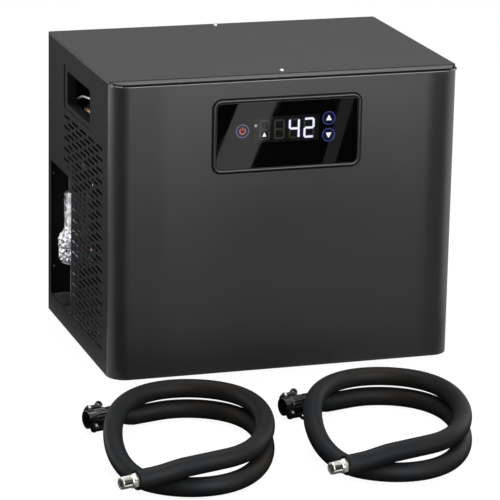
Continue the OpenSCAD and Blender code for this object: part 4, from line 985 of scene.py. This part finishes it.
# Refrigerant pipes: drawn copper, bent by hand and brazed, with a tinned capillary. The suction pipe
# is in black foam, and the evaporator's coil is of steel.
copper = mottled(
    "drawn_copper",
    cloud=(45, 4),
    colours=((0.80, 0.52, 0.40), (0.55, 0.31, 0.22)),
    rough=(0.28, 0.44),
    grain=(200, 3),
    deep=0.00004,
    even={"Metallic": 1.0},
    span=(0.35, 0.7),
)
tinned = mottled(
    "tinned_copper",
    cloud=(60, 3),
    colours=((0.90, 0.88, 0.85), (0.74, 0.70, 0.66)),
    rough=(0.3, 0.42),
    even={"Metallic": 0.6},
    span=(0.35, 0.7),
)
foam = mottled(
    "closed_cell_foam",
    cloud=(1200, 2),
    colours=((0.012, 0.012, 0.012), (0.024, 0.024, 0.024)),
    rough=(0.7, 0.85),
    grain=(1200, 2),
    deep=0.0001,
)


def bent(corners, radius, steps=8):
    """A pipe's line, in metres, with its inner corners rounded as a bending tool leaves them."""
    corners = [Vector(c) for c in corners]
    line = [corners[0]]
    for before, corner, after in zip(corners, corners[1:], corners[2:]):
        first = corner + (before - corner).normalized() * radius
        last = corner + (after - corner).normalized() * radius
        for k in range(steps + 1):
            s = k / steps
            line.append((1 - s) ** 2 * first + 2 * s * (1 - s) * corner + s * s * last)
    line.append(corners[-1])
    return [point * mm for point in line]


def pipe(name, line, radius, sides, finish, slot, stood_for):
    fitted(tube_along(name, line, radius, sides, finish), "cabinet", slot, stood_for)


condenser_in = (-169.95, 66, 293.25)
condenser_out = (-169.95, 66, 86.75)
hot_gas = [(-143, -61, 210.5), (-143, -61, 287), (-205.25, 27, 299), (-189.95, 66, 293.25)]
hot_gas.append(condenser_in)
liquid = [condenser_out, (-190, 66, 86.75), (-190, 51, 105), (-190, 51, 112)]
capillary = [(-190, 51, 192), (-190, 51, 203), (-212, 94, 245.5), (-212, 121, 287), (-206.75, 40, 317)]
capillary += [(-176, -77, 318.5), (30, -92, 299), (30, -76, 251.5), (30, -76, 235.5)]
pipe("hot_gas_line", bent(hot_gas, 16), 0.006, 24, copper, "copper", "hot_gas_pipe")
pipe("liquid_line", bent(liquid, 3.5), 0.0035, 16, copper, "copper", "liquid_pipe")
pipe("capillary_line", bent(capillary, 6, 6), 0.0015, 12, tinned, "copper", "capillary_tube")
coat(motor_enamel, "filter_drier")

# The condenser's tube runs back and forth through the fins, with a half-turn bend at each end
row_height = 29.5
bend = row_height / 2
serpentine = [condenser_out]
for row in range(7):
    z = 86.75 + row_height * row
    side = 1 if row % 2 == 0 else -1
    end = -30 + side * 125.2
    serpentine.append((end, 66, z))
    for k in range(1, 12):
        a = math.pi * k / 12
        serpentine.append((end + side * bend * math.sin(a), 66, z + bend * (1 - math.cos(a))))
    serpentine.append((end, 66, z + row_height))
serpentine.append(condenser_in)
serpentine = [Vector(p) * mm for p in serpentine]
pipe("condenser_tube", serpentine, 0.00475, 16, motor_enamel, "copper", "condenser_tubes")

suction = [(72, -76, 235.5), (72, -76, 343), (72, 35, 343), (-198, 35, 343), (-198, 112, 333)]
suction.append((-198, 112, 172))
pipe("suction_line", bent(suction, 16), 0.009, 24, foam, "foam_insulation", "suction_pipe")

# The evaporator's tube goes down the vessel's middle and winds up again along its wall
coil_radius = 42
spiral = [(0, 0, 235.5), (0, 0, 72.5)]
for a in range(-150, -59, 15):
    r = coil_radius * (1 + a / 180)
    t = math.radians(a)
    spiral.append((r * math.cos(t), r * math.sin(t), 30.5 + 10 * (a / 150) ** 2))
for a in range(0, 2521, 10):
    t = math.radians(a)
    spiral.append((coil_radius * math.cos(t), coil_radius * math.sin(t), 30.5 + 20 * a / 360))
spiral += [(42, 5, 175.5), (42, 0, 210.5), (42, 0, 235.5)]
spiral = [Vector((30 + x, -76 + y, z)) * mm for x, y, z in spiral]
pipe("evaporator_spiral", spiral, 0.005, 10, nickel, "bright_steel", "evaporator_coil")

# Condenser fins: thin rippled aluminium sheets, side by side. The tube is driven through them and
# then widened, so that they grip it.
fin_aluminium = mottled(
    "fin_aluminium",
    cloud=(60, 3),
    colours=((0.50, 0.51, 0.52), (0.72, 0.73, 0.74)),
    rough=(0.3, 0.5),
    grain=(60, 3),
    deep=0.00003,
    even={"Metallic": 1.0},
)
fin_inputs = {"Count": "Int", "Depth": "Float", "Height": "Float", "Step": "Float"}
fin_inputs.update({"Ripple": "Float", "Finish": "Material"})
fin_tree, ins = tree_for_geometry("fin_pack", fin_inputs)
thickness = 0.00022
size = {"X": thickness, "Y": ins.out("Depth"), "Z": ins.out("Height")}
size = ins.node("ShaderNodeCombineXYZ", {}, size)
grid = {"Size": size, "Vertices X": 2, "Vertices Y": 9, "Vertices Z": 2}
sheet = ins.node("GeometryNodeMeshCube", {}, grid)
spot = ins.node("GeometryNodeInputPosition")
waves = 2
wave = (spot.axis("Y") / ins.out("Depth") * (2 * math.pi * waves)).sine() * ins.out("Ripple")
shift = wave.node("ShaderNodeCombineXYZ", {}, {"X": wave})
rippled = ins.node("GeometryNodeSetPosition", {}, {"Geometry": sheet, "Offset": shift})
step = ins.node("ShaderNodeCombineXYZ", {}, {"X": ins.out("Step")})
spread = {"Count": ins.out("Count"), "Start Location": (0, 0, 0), "Offset": step}
row = ins.node("GeometryNodeMeshLine", {"mode": "OFFSET"}, spread)
end_tree(ins, ins.node("GeometryNodeInstanceOnPoints", {}, {"Points": row, "Instance": rippled}))
values = {"Count": 96, "Depth": 0.026, "Height": 0.236, "Step": 0.0025, "Ripple": 0.0006}
values["Finish"] = fin_aluminium
fins = grown("fin_pack", bpy.data.meshes.new("fin_seed"), fin_tree, values)
fins.data.transform(Matrix.Translation((-0.14875, 0.066, 0.190)))
fitted(fins, "cabinet", "fin_aluminium", "condenser_fins")

# Fan guard: steel wire rings and spokes, welded where they cross and plated in bright chromate. Its
# four screws hold it to the rear panel.
coat(bright_zinc, "fan_guard")

# Water circuit: black rubber pipes pushed over the stubs, steel bulkhead ports with their nuts,
# and the vessel, which is a rubber-lined moulding.
coat(moulded_rubber, "evaporator_vessel", "inlet_pipe")
delivery = [(140, 80, 108), (140, 80, 138.5), (140, -76, 138.5), (102, -76, 138.5)]
outlet = [(102, -76, 54.5), (204, -76, 54.5), (204, -44, 128), (204, 78.3, 128), (172, 110.3, 128)]
outlet.append((172, 126.3, 128))
pipe("delivery_hose", bent(delivery, 16), 0.008, 24, moulded_rubber, "black_rubber", "delivery_pipe")
pipe("outlet_hose", bent(outlet, 15.9), 0.008, 24, moulded_rubber, "black_rubber", "outlet_pipe")
coat(nickel, "water_ports", "port_nuts")
bpy.data.objects.remove(screw)

# The room: a plain pale floor that keeps the chiller's shadow, under plain soft light. Floor and
# backdrop are white to the camera, in metal and through glass.


def seen_white(start):
    """1 for a ray of the camera's, a mirrored one and one that went through glass."""
    ray = start.node("ShaderNodeLightPath")
    return ray.out("Is Camera Ray") + ray.out("Is Glossy Ray") + ray.out("Is Transmission Ray")


floor_white, start = bare_finish("pale_floor")
lit = start.node("ShaderNodeBsdfDiffuse", {}, {"Color": (0.8, 0.8, 0.8, 1)})
glow = start.node("ShaderNodeEmission", {}, {"Color": (1, 1, 1, 1), "Strength": 1.09})
blend = start.node("ShaderNodeMixShader", {}, {0: seen_white(start) * 0.85, 1: lit, 2: glow})
start.node("ShaderNodeOutputMaterial", {}, {"Surface": blend})
floor = new_object("floor", bpy.data.meshes.new("floor"))
form = bmesh.new()
bmesh.ops.create_circle(form, cap_ends=True, segments=64, radius=15)
form.to_mesh(floor.data)
form.free()
floor.data.materials.append(floor_white)

world = bpy.data.worlds.new("room")
scene.world = world
world.use_nodes = True
world.node_tree.nodes.clear()
start = Wire(world.node_tree)
strength = seen_white(start).between(0, 1, 0.45, 1.0)
backdrop = start.node("ShaderNodeBackground", {}, {"Color": (1, 1, 1, 1), "Strength": strength})
start.node("ShaderNodeOutputWorld", {}, {"Surface": backdrop})

# Cards that only reflections see, as round a photographer's table. The display's glass is black
# where it mirrors the dark card, and pale where it mirrors the two slanted light cards before it.


def card(name, corners, strength, clear=0.0):
    """A card of this brightness, black at 0. Clear is the share of what is behind that it lets by."""
    made, start = bare_finish(name + "_tone")
    tone = start.node("ShaderNodeEmission", {}, {"Color": (1, 1, 1, 1), "Strength": strength})
    through = start.node("ShaderNodeBsdfTransparent")
    tone = start.node("ShaderNodeMixShader", {}, {0: clear, 1: tone, 2: through})
    start.node("ShaderNodeOutputMaterial", {}, {"Surface": tone})
    mesh = bpy.data.meshes.new(name)
    mesh.from_pydata([tuple(c) for c in corners], [], [(0, 1, 2, 3)])
    mesh.materials.append(made)
    piece = new_object(name, mesh)
    piece.visible_camera = False
    piece.visible_diffuse = False
    piece.visible_shadow = False
    piece.visible_transmission = False


glass_plane = glass_front * mm
behind_glass = camera.matrix_world.translation.copy()
behind_glass.y = 2 * glass_plane - behind_glass.y


def mirrored(across, up, y):
    """Where a card's plane is met by the view's reflection from a point of the display."""
    spot = Vector((across * mm, glass_plane, (bezel_z + up) * mm))
    out = spot - behind_glass
    return spot + out * ((y - spot.y) / out.y)


def slanted(left, right, lean, y):
    corners = ((left, -52), (right, -52), (right + lean, 52), (left + lean, 52))
    return [mirrored(across, up, y) for across, up in corners]


card("card_wide_band", slanted(-104, -54, 42, -0.7), 1.05)
card("card_narrow_band", slanted(41, 58, 29, -0.7), 0.3)
card("card_display", slanted(-112, 112, 0, -0.71), 0)


# Upright cards, by their two feet and their height. A bright one lights the front's top, and those
# at both sides shade or brighten what the rounded corners and the side sheets mirror.
def upright(first, second, high):
    return [(*first, 0), (*second, 0), (*second, high), (*first, high)]


cabinet_top = 0.374
for name, first, second, high, strength in (
    ("card_front", (-0.3, -1.36), (0.9, -1.36), 0.9, 6.1),
    ("card_left", (-0.35, -1.4), (-1.5, -0.2), 1.2, 0.35),
    ("card_right", (0.196, -0.2), (0.2125, -0.181), cabinet_top, 0),
    ("card_corner", (0.37, -0.26), (0.46, -0.1), cabinet_top, 2.2),
    ("card_edge_right", (1.6, 0), (1.6, 0.9), 1.2, 1.6),
    ("card_edge_left", (-1.5, 0.1), (-1.5, 0.75), 1.2, 2.4),
    ("card_hoses", (-1.3, 0.3), (-0.75, 1.1), 0.35, 3.0),
    ("card_behind", (-2.5, 2), (3, 2), 2.5, 0.43),
):
    card(name, upright(first, second, high), strength)
card("card_soft", upright((-0.206, -0.2), (-0.154, -0.205), cabinet_top), 0, clear=0.72)

# Cards on the floor: in the dark ones the front and the left side mirror black, low down
for name, z, corners, strength in (
    ("card_floor", 0.0005, ((-0.9, -1.35), (1.5, -1.35), (1.5, -0.18), (-0.9, -0.18)), 0),
    ("card_floor_left", 0.0005, ((-2.2, -0.1), (-0.24, -0.1), (-0.24, 2), (-2.2, 2)), 0),
    ("card_strip", 0.001, ((-0.26, -0.12), (-1.5, -0.05), (-1.5, 0.75), (-0.26, -0.02)), 0.9),
):
    card(name, [(x, y, z) for x, y in corners], strength)


def lamp(name, at, towards, size, power):
    """A soft rectangular lamp that the camera doesn't see."""
    light = bpy.data.lights.new(name, "AREA")
    light.shape = "RECTANGLE"
    light.size = size[0]
    light.size_y = size[1]
    light.energy = power
    piece = new_object(name, light)
    piece.location = at
    facing = Vector(towards) - Vector(at)
    piece.rotation_euler = facing.to_track_quat("-Z", "Y").to_euler()
    piece.visible_camera = False


lamp("front_lamp", (0.35, -1.2, 0.75), (0, -0.17, 0.35), (1.0, 0.35), 6)
lamp("top_lamp", (0, 0.3, 2.0), (0, 0, 0.3), (1.6, 1.2), 30)
lamp("left_lamp", (-1.3, 0.35, 0.3), (-0.2, -0.15, 0.2), (0.25, 0.8), 2)

scene.view_settings.view_transform = "Standard"
